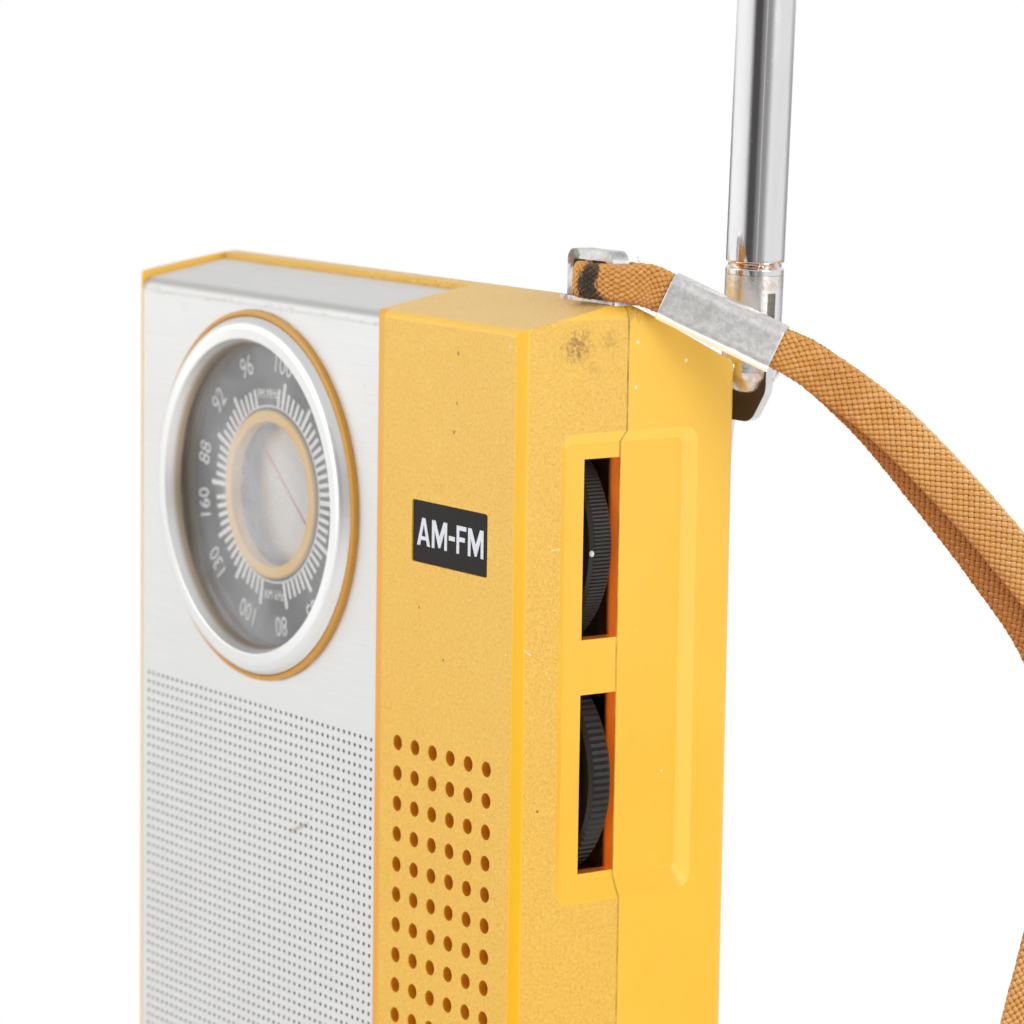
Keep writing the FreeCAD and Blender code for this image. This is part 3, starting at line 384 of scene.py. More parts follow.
def orange_plastic(name, grained=False, soiled=False):
    mat = new_material(name)
    x, y, z = mat.place.split()
    face_x, face_y, face_z = mat.facing().split()
    broad = mat.noise(scale=0.035, detail=3.0, rough=0.6)
    fine = mat.noise(scale=1.1, detail=4.0, rough=0.65)
    mat.colour = broad.ramp(zero=0.35, one=0.65).blend((0.925, 0.535, 0.036),
                                                       (0.905, 0.505, 0.030))
    mat.coat(fine.ramp(zero=0.45, one=0.8), colour=(0.94, 0.64, 0.12), amount=0.14)
    rough = mat.noise(scale=0.12, detail=4.0, rough=0.6).lerp(0.30, 0.46)
    # moulded surface: slight waviness and fine tool texture
    mat.relief(mat.noise(scale=0.09) * 6.0 + mat.noise(scale=6.0) * 0.35, depth=0.012)
    glow = 0.0
    if grained:
        rough, slots = leather_grain(mat, (x, y, z), (face_x, face_y, face_z), rough)
        glow = slots * 0.05

    # painted red light on the walls inside the wheel's recess, and painted shade deeper in
    inner = (x.band((40.78, 40.60), (30.0, 32.0)) * y.band((-5.6, -5.3), (0.8, 0.4))
             * z.band((63.0, 64.0), (113.0, 112.0)))
    mat.coat(inner, colour=(0.62, 0.10, 0.006), amount=0.85)
    mat.coat(inner * x.ramp(zero=39.3, one=38.8), colour=(0.030, 0.009, 0.004))
    # painted highlight on the bevels of the thumb recess
    bevels = [bevel * (x.ramp(zero=40.4, one=40.8) * face_x.ramp(zero=0.2, one=0.4))
              for bevel in ((-face_y).ramp(zero=0.15, one=0.45) * y.ramp(zero=7.5, one=8.5),
                            face_z.ramp(zero=-0.12, one=-0.4) * z.ramp(zero=105.0, one=110.0))]
    mat.coat(bevels[0].max(bevels[1]), colour=(1.0, 0.72, 0.11), amount=0.85)
    if soiled:
        shell_dirt(mat, y, z)
    specular = 0.5
    if grained:
        # rounded front right edge
        bend = (face_x.ramp(zero=0.15, one=0.35) * (-face_y).ramp(zero=0.15, one=0.35)
                * x.ramp(zero=40.0, one=40.4) * y.ramp(zero=-12.4, one=-12.8))
        mat.coat(bend, colour=(0.90, 0.46, 0.010), amount=0.55)
        specular = bend.lerp(0.5, 0.12)
    # painted light by height: deeper colour low down, a paler painted sheen towards the top
    mat.coat(z.ramp(zero=75.0, one=25.0), colour=(0.86, 0.43, 0.018), amount=0.22)
    mat.coat(z.ramp(zero=60.0, one=127.0), colour=(0.95, 0.68, 0.26), amount=0.15)
    # painted glow: emission on the slot walls and the thin wall in the recess, for light through
    # the plastic
    thin = y.ramp(zero=-0.9, one=-0.15) * x.ramp(zero=38.9, one=39.6)
    return mat.finish(Roughness=rough, IOR=1.49, Specular_IOR_Level=specular,
                      Emission_Color=(0.95, 0.13, 0.004),
                      Emission_Strength=glow + inner * thin * 0.42)


# ------------------------------------------------------------------ metals
def brushed_plate():
    """Aluminium brushed along X, tarnished and with painted shade at the bend near the top."""
    mat = new_material("brushed_plate")
    z = mat.place.split()[2]
    streak = mat.noise(at=mat.place * (0.10, 3.0, 9.0), detail=4.0, rough=0.72)
    hair = mat.noise(at=mat.place * (0.35, 5.0, 30.0), detail=3.0, rough=0.7)
    cloud = mat.noise(scale=0.05, detail=3.0, rough=0.6)
    mat.colour = streak.ramp(zero=0.30, one=0.72).blend((0.850, 0.850, 0.840),
                                                        (0.800, 0.800, 0.787))
    mat.coat(hair.ramp(zero=0.5, one=0.75), colour=(0.86, 0.86, 0.85), amount=0.35)
    mat.coat(cloud.ramp(zero=0.45, one=0.75), colour=(0.74, 0.72, 0.68), amount=0.12)
    # tarnish caught along the bend, and faint stains
    bend = abs(z - 123.75).ramp(zero=0.75, one=0.1)
    spots = mat.noise(at=mat.place * (0.55, 1.0, 1.6), detail=5.0, rough=0.75)
    mat.coat(bend * spots.ramp(zero=0.50, one=0.68), colour=(0.42, 0.33, 0.23), amount=0.75)
    stain = mat.noise(scale=0.33, detail=5.0, rough=0.7).ramp(zero=0.64, one=0.74)
    mat.coat(stain, colour=(0.50, 0.42, 0.30), amount=0.16)
    # painted shade along the bend, dimming its bright reflection
    mat.coat(z.band((123.2, 123.9), (125.3, 124.7)), colour=(0.56, 0.555, 0.54), amount=0.70)
    # short scratch over the perforated field
    along, away, _ = from_line(mat, (-6.4, -12.9, 61.6), (-0.9, -12.9, 64.0))
    inside = along.band((0.0, 1.6), (5.9, 4.2))
    mat.coat(inside * away.ramp(zero=0.38, one=0.08), colour=(0.42, 0.33, 0.26), amount=0.5)
    mat.relief(streak + hair * 0.6, depth=0.008)
    return mat.finish(Metallic=1.0, Roughness=streak.lerp(0.42, 0.52), Anisotropic=0.5,
                      Tangent=mat.combine(1.0, 0.0, 0.0))


def turned_metal(name, base, rough, depth, grime=None):
    """Satin metal turned about the dial axis. Rough is a (low, high) pair."""
    mat = new_material(name)
    x, y, z = mat.place.split()
    radius = hypot(x - DIAL_X, z - DIAL_Z)
    rings = mat.noise(at=mat.combine(radius * 9.0, y * 9.0, 0.0), detail=4.0, rough=0.75)
    cloud = mat.noise(scale=0.16, detail=4.0, rough=0.6)
    mat.colour = rings.blend(shade(base, 0.90), base)
    mat.coat(cloud.ramp(zero=0.5, one=0.8), colour=shade(base, 0.80), amount=0.25)
    if grime:
        # the inner step is coloured brown
        step = y.ramp(zero=-14.1, one=-13.2) * radius.ramp(zero=18.9, one=18.35)
        mat.coat(step, colour=(0.34, 0.22, 0.11), amount=grime)
    mat.relief(rings + mat.noise(scale=2.5, detail=4.0, rough=0.7) * 0.5, depth)
    tangent = mat.node("ShaderNodeTangent", direction_type="RADIAL", axis="Y")
    return mat.finish(Metallic=1.0, Roughness=cloud.lerp(*rough), Anisotropic=0.55,
                      Tangent=tangent)


def chrome(name, base, rough, rust=(), pitted=0.3, depth=0.004, stain=0.15):
    """Worn plating. Rust lists bands as (lowest z, highest z, amount)."""
    mat = new_material(name)
    smear = mat.noise(at=mat.place * (0.6, 0.6, 0.16), detail=5.0, rough=0.62, distortion=0.6)
    fine = mat.noise(scale=2.2, detail=5.0, rough=0.7)
    pits = (mat.cells(scale=1.3).ramp(zero=0.16, one=0.05)
            * mat.noise(scale=0.35, detail=3.0).ramp(zero=0.52, one=0.62))
    mat.colour = (smear.ramp(zero=0.45, one=0.8) * 0.35).blend(base, shade(base, 0.83))
    mat.coat(pits, colour=(0.22, 0.17, 0.12), amount=pitted)
    warm = mat.noise(scale=0.28, detail=5.0, rough=0.7).ramp(zero=0.60, one=0.75)
    mat.coat(warm, colour=(0.55, 0.40, 0.25), amount=stain)
    if rust:
        z = mat.place.split()[2]
        for bottom, top, amount in rust:
            half = (top - bottom) / 2
            band = abs(z - (bottom + top) / 2).ramp(zero=half * 1.3, one=half * 0.6)
            patch = mat.noise(scale=0.7, detail=5.0, rough=0.7).ramp(zero=0.40, one=0.60)
            mat.coat(band * patch, colour=(0.60, 0.27, 0.07), amount=amount)
    roughness = smear.ramp(zero=0.3, one=0.75).lerp(*rough) + pits * 0.3
    mat.relief(fine + mat.noise(scale=0.35) * 3.0, depth)
    return mat.finish(Metallic=1.0, Roughness=roughness)


def pickled_metal():
    """Soft, slightly blotchy white-metal finish of the strap ferrule, with painted light across
    it.
    """
    mat = new_material("ferrule_pickled_and_painted_light")
    blotch = mat.noise(scale=1.5, detail=6.0, rough=0.72)
    broad = mat.noise(scale=0.22, detail=3.0, rough=0.6)
    grain = mat.noise(scale=9.0, detail=3.0, rough=0.6)
    mat.colour = blotch.ramp(zero=0.38, one=0.66).blend((0.87, 0.86, 0.845),
                                                        (0.69, 0.68, 0.67))
    mat.coat(broad.ramp(zero=0.45, one=0.7), colour=(0.55, 0.53, 0.51), amount=0.25)
    pits = (mat.cells(scale=2.4).ramp(zero=0.14, one=0.04)
            * mat.noise(scale=0.8).ramp(zero=0.5, one=0.6))
    mat.coat(pits, colour=(0.35, 0.33, 0.31), amount=0.5)
    # painted light across the sleeve by height: a painted dark line above the rounded lower edge,
    # a painted highlight on that edge, the case's colour as a painted reflection, painted shade
    # on top
    height = (mat.place - FERRULE_TOP).dot((0.2886, 0.2886, 0.9130))
    height = height + (mat.noise(scale=0.35) - 0.5) * 0.35
    line = height.band((-1.25, -1.80), (-2.20, -1.95))
    shine = height.band((-1.95, -2.20), (-3.00, -2.80))
    warm = height.ramp(zero=-2.80, one=-3.05)
    upper = height.ramp(zero=1.2, one=2.2)
    mat.coat(line, colour=(0.33, 0.31, 0.29), amount=0.55)
    mat.coat(shine, colour=(0.96, 0.95, 0.93), amount=0.9)
    mat.coat(warm, colour=(0.62, 0.44, 0.20), amount=0.8)
    mat.coat(upper, colour=(0.50, 0.48, 0.46), amount=0.35)
    mat.relief(blotch + grain * 0.5, depth=0.02)
    # painted glow: emission on the painted highlight and on the pale blotches
    return mat.finish(
        Metallic=0.56, Roughness=blotch.lerp(0.18, 0.38),
        Emission_Color=mat.combine(1.0, 0.985, 0.96),
        Emission_Strength=shine * 0.22 + blotch.ramp(zero=0.60, one=0.40) * 0.05)


def ear_metal():
    """Antenna ear: its broad front face has tarnished dark brown, the edges stay bright."""
    mat = new_material("antenna_ear")
    face_y = mat.facing().split()[1]
    cloud = mat.noise(scale=0.7, detail=5.0, rough=0.7)
    face = (-face_y).ramp(zero=0.6, one=0.9)
    tarnish = cloud.blend((0.115, 0.080, 0.060), (0.055, 0.036, 0.026))
    mat.colour = face.blend((0.80, 0.79, 0.77), tarnish)
    mat.relief(mat.noise(scale=1.2, detail=4.0, rough=0.7), depth=0.02)
    return mat.finish(Metallic=face.lerp(1.0, 0.35), Roughness=face.lerp(0.12, 0.38))


# Grime in the bracket's corners: centre, radius, amount, colour
BRACKET_GRIME = (
    ((33.0, -1.1, 132.3), 1.5, 0.85, (0.16, 0.09, 0.05)),
    ((33.6, -1.1, 132.9), 0.55, 0.8, (0.20, 0.42, 0.22)),
    ((40.0, -1.0, 128.4), 1.2, 0.6, (0.20, 0.11, 0.05)),
    ((32.6, -1.0, 128.2), 1.2, 0.6, (0.20, 0.11, 0.05)),
)


def bracket_metal():
    """Dull chrome strip with a painted dark reflection inside the left leg, grimy in the corners.
    """
    mat = new_material("bracket_chrome")
    x, y, _ = mat.place.split()
    face_x = mat.facing().split()[0]
    cloud = mat.noise(scale=0.8, detail=5.0, rough=0.7)
    fine = mat.noise(scale=2.6, detail=5.0, rough=0.75)
    mat.colour = cloud.ramp(zero=0.35, one=0.7).blend((0.76, 0.76, 0.75), (0.52, 0.51, 0.49))
    # painted dark reflection on the inner face of the left leg
    leg = face_x.ramp(zero=0.5, one=0.8) * (x.ramp(zero=36.0, one=35.0)
                                            * y.ramp(zero=0.75, one=0.35))
    mat.coat(leg, colour=(0.075, 0.045, 0.030), amount=0.90)
    for centre, radius, amount, colour in BRACKET_GRIME:
        spot = ragged_spot(mat, centre, radius, fine, spread=1.8, zero=1.0, one=0.5)
        mat.coat(spot, colour, amount)
    mat.relief(cloud + fine * 0.6, depth=0.03)
    return mat.finish(Metallic=0.92, Roughness=cloud.lerp(0.20, 0.42))


# ------------------------------------------------------------------ plastics, lens, yarn
def black_plastic(name, dust, base=(0.026, 0.024, 0.022), rough=(0.30, 0.52), specular=0.5):
    mat = new_material(name)
    cloud = mat.noise(scale=1.6, detail=5.0, rough=0.7)
    patches = mat.noise(scale=0.9, detail=6.0, rough=0.8).ramp(zero=0.50, one=0.78)
    mat.colour = cloud.blend(base, shade(base, 1.7))
    mat.coat(patches, colour=(0.20, 0.17, 0.14), amount=dust)
    mat.relief(mat.noise(scale=5.0, detail=4.0, rough=0.7), depth=0.012)
    return mat.finish(Roughness=cloud.lerp(*rough), Specular_IOR_Level=specular)


def plain(name, colour, rough=0.5, metal=0.0, vary=0.18, scale=1.0, depth=0.01, stripe=None):
    """Two-tone colour, uneven gloss and a light texture.

    Stripe is (axis number, period in mm, share left unstriped, stripe colour).
    """
    mat = new_material(name)
    cloud = mat.noise(scale=0.9 * scale, detail=4.0, rough=0.65)
    fine = mat.noise(scale=5.0 * scale)
    mat.colour = cloud.blend(shade(colour, 1 - vary), shade(colour, 1 + vary))
    if stripe:
        axis, period, share, tone = stripe
        turn = (mat.place.split()[axis] / period).fraction()
        mat.coat(turn.ramp(zero=share + 0.02, one=share - 0.02), colour=tone)
    mat.relief(cloud + fine * 0.4, depth)
    return mat.finish(Metallic=metal, Roughness=cloud.lerp(max(0.03, rough - 0.1), rough + 0.1))


def lens_material():
    """Clear acrylic with an old, slightly hazed surface; its milky layer is also painted
    reflection.
    """
    mat = new_material("dial_lens")
    x, _, z = mat.place.split()
    smear = mat.noise(at=mat.place * (0.10, 1.0, 0.10), detail=4.0, rough=0.6, distortion=0.8)
    rub = mat.noise(at=mat.place * (0.9, 1.0, 0.35), detail=5.0, rough=0.7)
    haze = smear.ramp(zero=0.32, one=0.70).lerp(0.12, 0.30)
    haze = haze + rub.ramp(zero=0.55, one=0.8) * 0.04
    # painted reflection and haze: clearer towards the left rim, milky in the middle, with hazy
    # spots
    haze = haze * x.ramp(zero=DIAL_X - 19.0, one=DIAL_X - 7.0, low=0.22)
    radius = ((x - DIAL_X) ** 2.0 + (z - DIAL_Z) ** 2.0).sqrt()
    haze = haze + radius.ramp(zero=10.5, one=6.5) * 0.24
    spots = mat.noise(scale=0.8, detail=6.0, rough=0.8).ramp(zero=0.56, one=0.74)
    haze = haze + spots * 0.22
    mat.relief(rub, depth=0.004)
    # mirror share by Schlick's formula
    facing = mat.facing()
    cosine = abs(facing.dot(facing.sibling("Incoming")))
    mirror = 0.04 + 0.96 * (1.0 - cosine) ** 5.0
    clear = mat.node("ShaderNodeBsdfTransparent", {0: (0.965, 0.965, 0.965)})
    gloss = mat.node("ShaderNodeBsdfGlossy", {"Roughness": 0.045, "Normal": mat.normal})
    milk = mat.node("ShaderNodeBsdfDiffuse", {0: (0.90, 0.90, 0.91)})
    body = mat.node("ShaderNodeMixShader", {0: haze * 0.56, 1: clear, 2: milk})
    return mat.close(mat.node("ShaderNodeMixShader", {0: mirror, 1: body, 2: gloss}))


# Soot on the strap by the bracket: centre, radius, amount
SOOT = (
    ((39.2, -3.1, 131.4), 1.35, 0.88), ((38.7, -3.2, 129.9), 1.65, 0.92),
    ((39.3, -3.0, 128.9), 1.7, 0.90), ((37.8, -2.9, 129.2), 1.0, 0.55),
)


def yarn_material():
    """Braided cotton. The yarn attribute holds the length along the yarn (mm), how far
    it lies on top (0 to 1) and a number for each yarn."""
    mat = new_material("strap_yarn")
    attribute = mat.node("ShaderNodeAttribute", output="Vector", attribute_name="yarn")
    length, lying, number = attribute.split()
    wobble = mat.noise(at=mat.place * 1.0, scale=3.0)
    across = (mat.place.dot((3.1, 2.3, 3.7)) + wobble) * 1.5
    fibre = mat.noise(at=mat.combine(length * 0.9, across, number * 7.0),
                      detail=4.0, rough=0.7)
    tone = mat.noise(at=mat.combine(length * 0.33, number * 3.7, 0.0))
    broad = mat.noise(scale=0.11, detail=3.0, rough=0.6)
    # painted shade: a yarn is palest where it lies on top and darkest where it dives under its
    # neighbour
    top = lying.ramp(zero=0.30, one=0.86)
    mat.colour = top.blend((0.26, 0.070, 0.007), (0.78, 0.385, 0.080))
    mat.coat(fibre.ramp(zero=0.42, one=0.66), colour=(0.50, 0.185, 0.035), amount=0.55)
    mat.coat(tone.ramp(zero=0.40, one=0.60) * top, colour=(0.84, 0.50, 0.21), amount=0.45)
    mat.coat(broad.ramp(zero=0.40, one=0.70), colour=(0.52, 0.20, 0.035), amount=0.30)
    mat.coat(fibre.ramp(zero=0.38, one=0.26) * top, colour=(0.92, 0.72, 0.42), amount=0.45)
    # painted shade: the under side of the band is darkened to red-brown
    face_z = mat.facing().split()[2]
    mat.coat(face_z.ramp(zero=0.05, one=-0.55), colour=(0.34, 0.085, 0.012), amount=0.62)
    x, y, _ = mat.place.split()
    sideways = (x - 39.0 - y) * DIAGONAL
    outward = (x - 47.4 + y) * DIAGONAL
    # painted shade on the inner, lower strand of the loop
    inner = sideways.ramp(zero=0.62, one=-0.02) * outward.ramp(zero=12.0, one=18.0)
    mat.coat(inner, colour=top.blend((0.13, 0.028, 0.004), (0.44, 0.125, 0.012)), amount=0.82)
    # painted highlight on the side turned up to the light
    sun = face_z.ramp(zero=0.15, one=0.75) * outward.ramp(zero=16.0, one=34.0)
    mat.coat(sun * top, colour=(0.97, 0.74, 0.40), amount=0.55)
    breakup = mat.noise(scale=0.75, detail=6.0, rough=0.8)
    for centre, radius, amount in SOOT:
        spot = ragged_spot(mat, centre, radius, breakup, spread=3.2, zero=1.05, one=0.55)
        mat.coat(spot, colour=(0.030, 0.024, 0.020), amount=amount)
    mat.relief(fibre, depth=0.035)
    return mat.finish(Roughness=fibre.lerp(0.62, 0.85), Sheen_Weight=0.10,
                      Sheen_Roughness=0.45, Sheen_Tint=(1.0, 0.88, 0.68))


# ------------------------------------------------------------------ finishes of the CAD pieces
def paint(material, *pieces):
    for piece in pieces:
        slots = NODES[piece].data.materials
        slots.clear()
        slots.append(material)
    return material


paint(orange_plastic("orange_front_shell", grained=True, soiled=True), "front_shell")
paint(orange_plastic("orange_rear_shell", soiled=True), "rear_shell")
paint(orange_plastic("orange_battery_door"), "battery_door")
paint(orange_plastic("orange_dial_ring"), "dial_inner_ring")
PLATE = paint(brushed_plate(), "front_plate")
paint(turned_metal("bezel_satin", base=(0.91, 0.91, 0.90), rough=(0.30, 0.42), depth=0.004,
                   grime=0.8), "dial_bezel")
paint(turned_metal("pointer_disc_spun", base=(0.90, 0.885, 0.86), rough=(0.26, 0.38),
                   depth=0.010), "dial_pointer_disc")
paint(chrome("antenna_chrome", base=(0.86, 0.86, 0.87), rough=(0.035, 0.13),
             rust=((131.0, 131.9, 0.9), (117.0, 118.4, 0.35)), pitted=0.35, stain=0.10),
      "antenna_tube_1")
paint(chrome("knuckle_chrome", base=(0.90, 0.89, 0.88), rough=(0.14, 0.34),
             rust=((128.6, 130.6, 0.30), (117.0, 119.4, 0.5)), pitted=0.5, stain=0.35,
             depth=0.02), "antenna_knuckle")
paint(chrome("antenna_tip_chrome", base=(0.84, 0.84, 0.85), rough=(0.05, 0.18)),
      "antenna_tube_2", "antenna_tube_3", "antenna_rod", "antenna_tip")
paint(chrome("antenna_ear_chrome", base=(0.80, 0.79, 0.78), rough=(0.05, 0.20), pitted=0.5,
             stain=0.25), "antenna_pin")
paint(ear_metal(), "antenna_bracket")
FERRULE = paint(pickled_metal(), "strap_ferrule")
BRACKET = paint(bracket_metal(), "strap_bracket")
paint(black_plastic("wheel_black", dust=0.16, base=(0.017, 0.015, 0.013)), "tuning_wheel")
paint(black_plastic("volume_wheel_black", dust=0.10, base=(0.0085, 0.0068, 0.0058),
                    rough=(0.38, 0.58)), "volume_wheel")
paint(black_plastic("moulded_black", dust=0.12),
      "band_switch_slider", "volume_pot", "earphone_socket", "band_switch_body")
paint(black_plastic("badge_black", dust=0.04, base=(0.012, 0.010, 0.009), rough=(0.26, 0.40),
                    specular=0.13), "band_badge")
paint(black_plastic("dial_black", dust=0.10, base=(0.016, 0.016, 0.020), rough=(0.34, 0.5),
                    specular=0.25), "dial_scale")
DIAL_PRINT = plain("dial_print", (0.92, 0.92, 0.88), rough=0.55, vary=0.05)
BADGE_PRINT = plain("badge_print", (0.70, 0.72, 0.76), rough=0.45, vary=0.08)
POINTER_RED = plain("pointer_red", (0.62, 0.055, 0.07), vary=0.12)
paint(lens_material(), "dial_lens")
YARN = yarn_material()
# dark brown core: painted shade showing in the gaps of the braid
CORE = paint(plain("strap_core", (0.25, 0.095, 0.025), rough=0.85, vary=0.3, scale=2.0,
                   depth=0.05), "wrist_strap")
CLOTH = paint(plain("grille_cloth", (0.60, 0.60, 0.59), rough=0.85, vary=0.35, scale=3.0,
                    depth=0.08), "grille_cloth")
paint(chrome("zinc_steel", base=(0.62, 0.62, 0.60), rough=(0.22, 0.42), pitted=0.2,
             stain=0.25, depth=0.008),
      "tuning_axle", "tuning_axle_clip", "dial_shaft", "volume_shaft", "volume_screw",
      "board_screws", "case_screws", "antenna_bracket_screw", "speaker_frame",
      "speaker_clips", "battery_springs", "battery_contacts")
paint(plain("white_nylon", (0.78, 0.76, 0.68), rough=0.42, vary=0.08),
      "dial_drum", "ferrite_holders", "tuning_capacitor")
paint(plain("phenolic_board", (0.40, 0.22, 0.09), rough=0.45, vary=0.2,
            stripe=(0, 3.4, 0.42, (0.56, 0.30, 0.13))), "circuit_board")
paint(plain("ferrite", (0.075, 0.075, 0.080), rough=0.62, vary=0.25, scale=2.0),
      "ferrite_rod", "speaker_magnet")
paint(plain("enamel_copper", (0.72, 0.33, 0.14), rough=0.30, metal=0.9, vary=0.12,
            stripe=(0, 0.42, 0.5, (0.50, 0.20, 0.08))), "ferrite_coil", "speaker_voice_coil")
paint(chrome("tin_can", base=(0.72, 0.72, 0.70), rough=(0.18, 0.34)), "if_transformers")
paint(plain("sleeve_blue", (0.07, 0.17, 0.40), rough=0.34, vary=0.12),
      "electrolytic_capacitors")
paint(plain("epoxy_black", (0.045, 0.045, 0.045), vary=0.2),
      "transistors", "output_transformer")
paint(plain("resistor_tan", (0.60, 0.44, 0.25), rough=0.45, vary=0.1,
            stripe=(0, 1.5, 0.30, (0.35, 0.08, 0.05))), "resistors")
paint(plain("cone_paper", (0.085, 0.075, 0.068), rough=0.9, vary=0.3, scale=2.0, depth=0.06),
      "speaker_cone")
paint(plain("cell_sleeve", (0.50, 0.055, 0.045), rough=0.28, vary=0.08,
            stripe=(2, 50.5, 0.24, (0.72, 0.58, 0.20))), "battery_cells")
paint(plain("lead_insulation", (0.52, 0.05, 0.04), rough=0.45, vary=0.12),
      "speaker_leads", "battery_leads", "antenna_lead")
paint(plain("waxed_cord", (0.70, 0.62, 0.42), rough=0.7, vary=0.15, scale=4.0, depth=0.05),
      "dial_cord")


# ------------------------------------------------------------------ mesh helpers
def link_object(name, data):
    piece = bpy.data.objects.new(name, data)
    bpy.context.scene.collection.objects.link(piece)
    return piece


def mesh_object(name, points, faces, material, body, smooth=True):
    """Points in millimetres."""
    mesh = bpy.data.meshes.new(name)
    scaled = np.asarray(points, float) * MM
    mesh.from_pydata([tuple(point) for point in scaled], [], [tuple(face) for face in faces])
    mesh.validate()
    mesh.update()
    if smooth:
        mesh.polygons.foreach_set("use_smooth", [True] * len(mesh.polygons))
    mesh.materials.append(material)
    piece = link_object(name, mesh)
    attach(piece, body)
    return piece


def quads_object(name, points, quads, material, body, yarn=None):
    """Fast path for large all-quad meshes from arrays (millimetres), shaded smooth."""
    mesh = bpy.data.meshes.new(name)
    count = len(quads)
    mesh.vertices.add(len(points))
    mesh.vertices.foreach_set("co", (np.asarray(points, np.float32) * MM).ravel())
    mesh.loops.add(count * 4)
    mesh.loops.foreach_set("vertex_index", np.asarray(quads, np.int32).ravel())
    mesh.polygons.add(count)
    mesh.polygons.foreach_set("loop_start", np.arange(0, count * 4, 4, dtype=np.int32))
    mesh.polygons.foreach_set("loop_total", np.full(count, 4, np.int32))
    mesh.update(calc_edges=True)
    mesh.validate()
    mesh.polygons.foreach_set("use_smooth", np.full(count, True))
    if yarn is not None:
        attribute = mesh.attributes.new("yarn", "FLOAT_VECTOR", "POINT")
        attribute.data.foreach_set("vector", np.asarray(yarn, np.float32).ravel())
    mesh.materials.append(material)
    piece = link_object(name, mesh)
    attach(piece, body)
    return piece


def ring_quads(rows, sides, closed=False):
    """Quads between successive rings of points; closed joins the last ring to the first."""
    here = np.arange(rows * sides).reshape(rows, sides)
    beside = np.roll(here, -1, axis=1)
    quads = np.stack([here, beside, np.roll(beside, -1, axis=0), np.roll(here, -1, axis=0)], -1)
    return quads[:rows if closed else rows - 1].reshape(-1, 4)


def bar_faces(rows, sides):
    """Ring quads with a flat cap at each end."""
    last = (rows - 1) * sides
    return [*ring_quads(rows, sides), range(sides)[::-1], range(last, last + sides)]


def fix_normals(piece):
    mesh = bmesh.new()
    mesh.from_mesh(piece.data)
    bmesh.ops.recalc_face_normals(mesh, faces=mesh.faces)
    mesh.to_mesh(piece.data)
    mesh.free()


# ------------------------------------------------------------------ perforated front plate
PLATE_LEFT, PLATE_RIGHT = -40.6, 13.45
PLATE_FRONT = -12.9
PLATE_BOTTOM = 2.6
PLATE_THICKNESS = 0.5
PLATE_CORNER = 124.93            # height where the front and the sloping top would meet
PLATE_TURN = math.pi / 2 - math.atan(0.1835)    # angle of the bend; the top runs back
BEND_RADIUS = 1.6
BEND_START = PLATE_CORNER - BEND_RADIUS * math.tan(PLATE_TURN / 2)
TOP_BACK = (-1.3, 127.06)        # y, z of the back edge of the top
DIAL_OPENING = 22.05
PITCH = 1.15
HOLE_RADIUS = 0.245
HOLE_SIDES = 12
COLUMNS, ROWS = 45, 61
FIELD_LEFT = -39.02 - PITCH / 2
FIELD_TOP = 75.9 + PITCH / 2
FIELD_RIGHT = FIELD_LEFT + PITCH * COLUMNS
FIELD_BOTTOM = FIELD_TOP - PITCH * ROWS


def perforated_field():
    """Square cells with a round hole in each, counted down each column from the left."""
    points = [(FIELD_LEFT + i * PITCH, PLATE_FRONT, FIELD_TOP - j * PITCH)
              for i in range(COLUMNS + 1) for j in range(ROWS + 1)]
    faces = []

    def corner(i, j):
        return i * (ROWS + 1) + j

    angles = [math.radians(45 + 360 * q / HOLE_SIDES) for q in range(HOLE_SIDES)]
    for i in range(COLUMNS):
        for j in range(ROWS):
            x = FIELD_LEFT + (i + 0.5) * PITCH
            z = FIELD_TOP - (j + 0.5) * PITCH
            first = len(points)
            points.extend((x + HOLE_RADIUS * math.cos(a), PLATE_FRONT,
                           z + HOLE_RADIUS * math.sin(a)) for a in angles)
            # corners counter-clockwise from the upper right
            cell = (corner(i + 1, j), corner(i, j), corner(i, j + 1), corner(i + 1, j + 1))
            for s in range(4):
                rim = [first + (3 * s + q) % HOLE_SIDES for q in range(4)]
                faces.append((cell[s], cell[(s + 1) % 4], *rim[::-1]))
    return points, faces


def plain_outline():
    """Outline, dial opening and field rim as closed loops of (x, z), and inner points."""
    across, upright = 54, 60
    width, height = PLATE_RIGHT - PLATE_LEFT, BEND_START - PLATE_BOTTOM
    outline = [(PLATE_RIGHT, PLATE_BOTTOM + height * i / upright) for i in range(upright)]
    outline += [(PLATE_RIGHT - width * i / across, BEND_START) for i in range(across + 1)]
    outline += [(PLATE_LEFT, BEND_START - height * i / upright) for i in range(1, upright)]
    outline += [(PLATE_LEFT + width * i / across, PLATE_BOTTOM) for i in range(across)]
    opening = [(DIAL_X + DIAL_OPENING * math.cos(2 * math.pi * q / 144),
                DIAL_Z + DIAL_OPENING * math.sin(2 * math.pi * q / 144)) for q in range(144)]
    rim = [(FIELD_LEFT + i * PITCH, FIELD_TOP) for i in range(COLUMNS)]
    rim += [(FIELD_RIGHT, FIELD_TOP - j * PITCH) for j in range(ROWS)]
    rim += [(FIELD_RIGHT - i * PITCH, FIELD_BOTTOM) for i in range(COLUMNS)]
    rim += [(FIELD_LEFT, FIELD_BOTTOM + j * PITCH) for j in range(ROWS)]
    # inner points keep the triangles even
    inner = []
    for i in range(1, 27):
        for j in range(1, 62):
            x, z = PLATE_LEFT + width * i / 27, PLATE_BOTTOM + height * j / 62
            in_field = (FIELD_LEFT - 0.6 < x < FIELD_RIGHT + 0.6
                        and FIELD_BOTTOM - 0.6 < z < FIELD_TOP + 0.6)
            if not in_field and math.hypot(x - DIAL_X, z - DIAL_Z) >= 22.8:
                inner.append((x, z))
    return (outline, opening, rim), inner


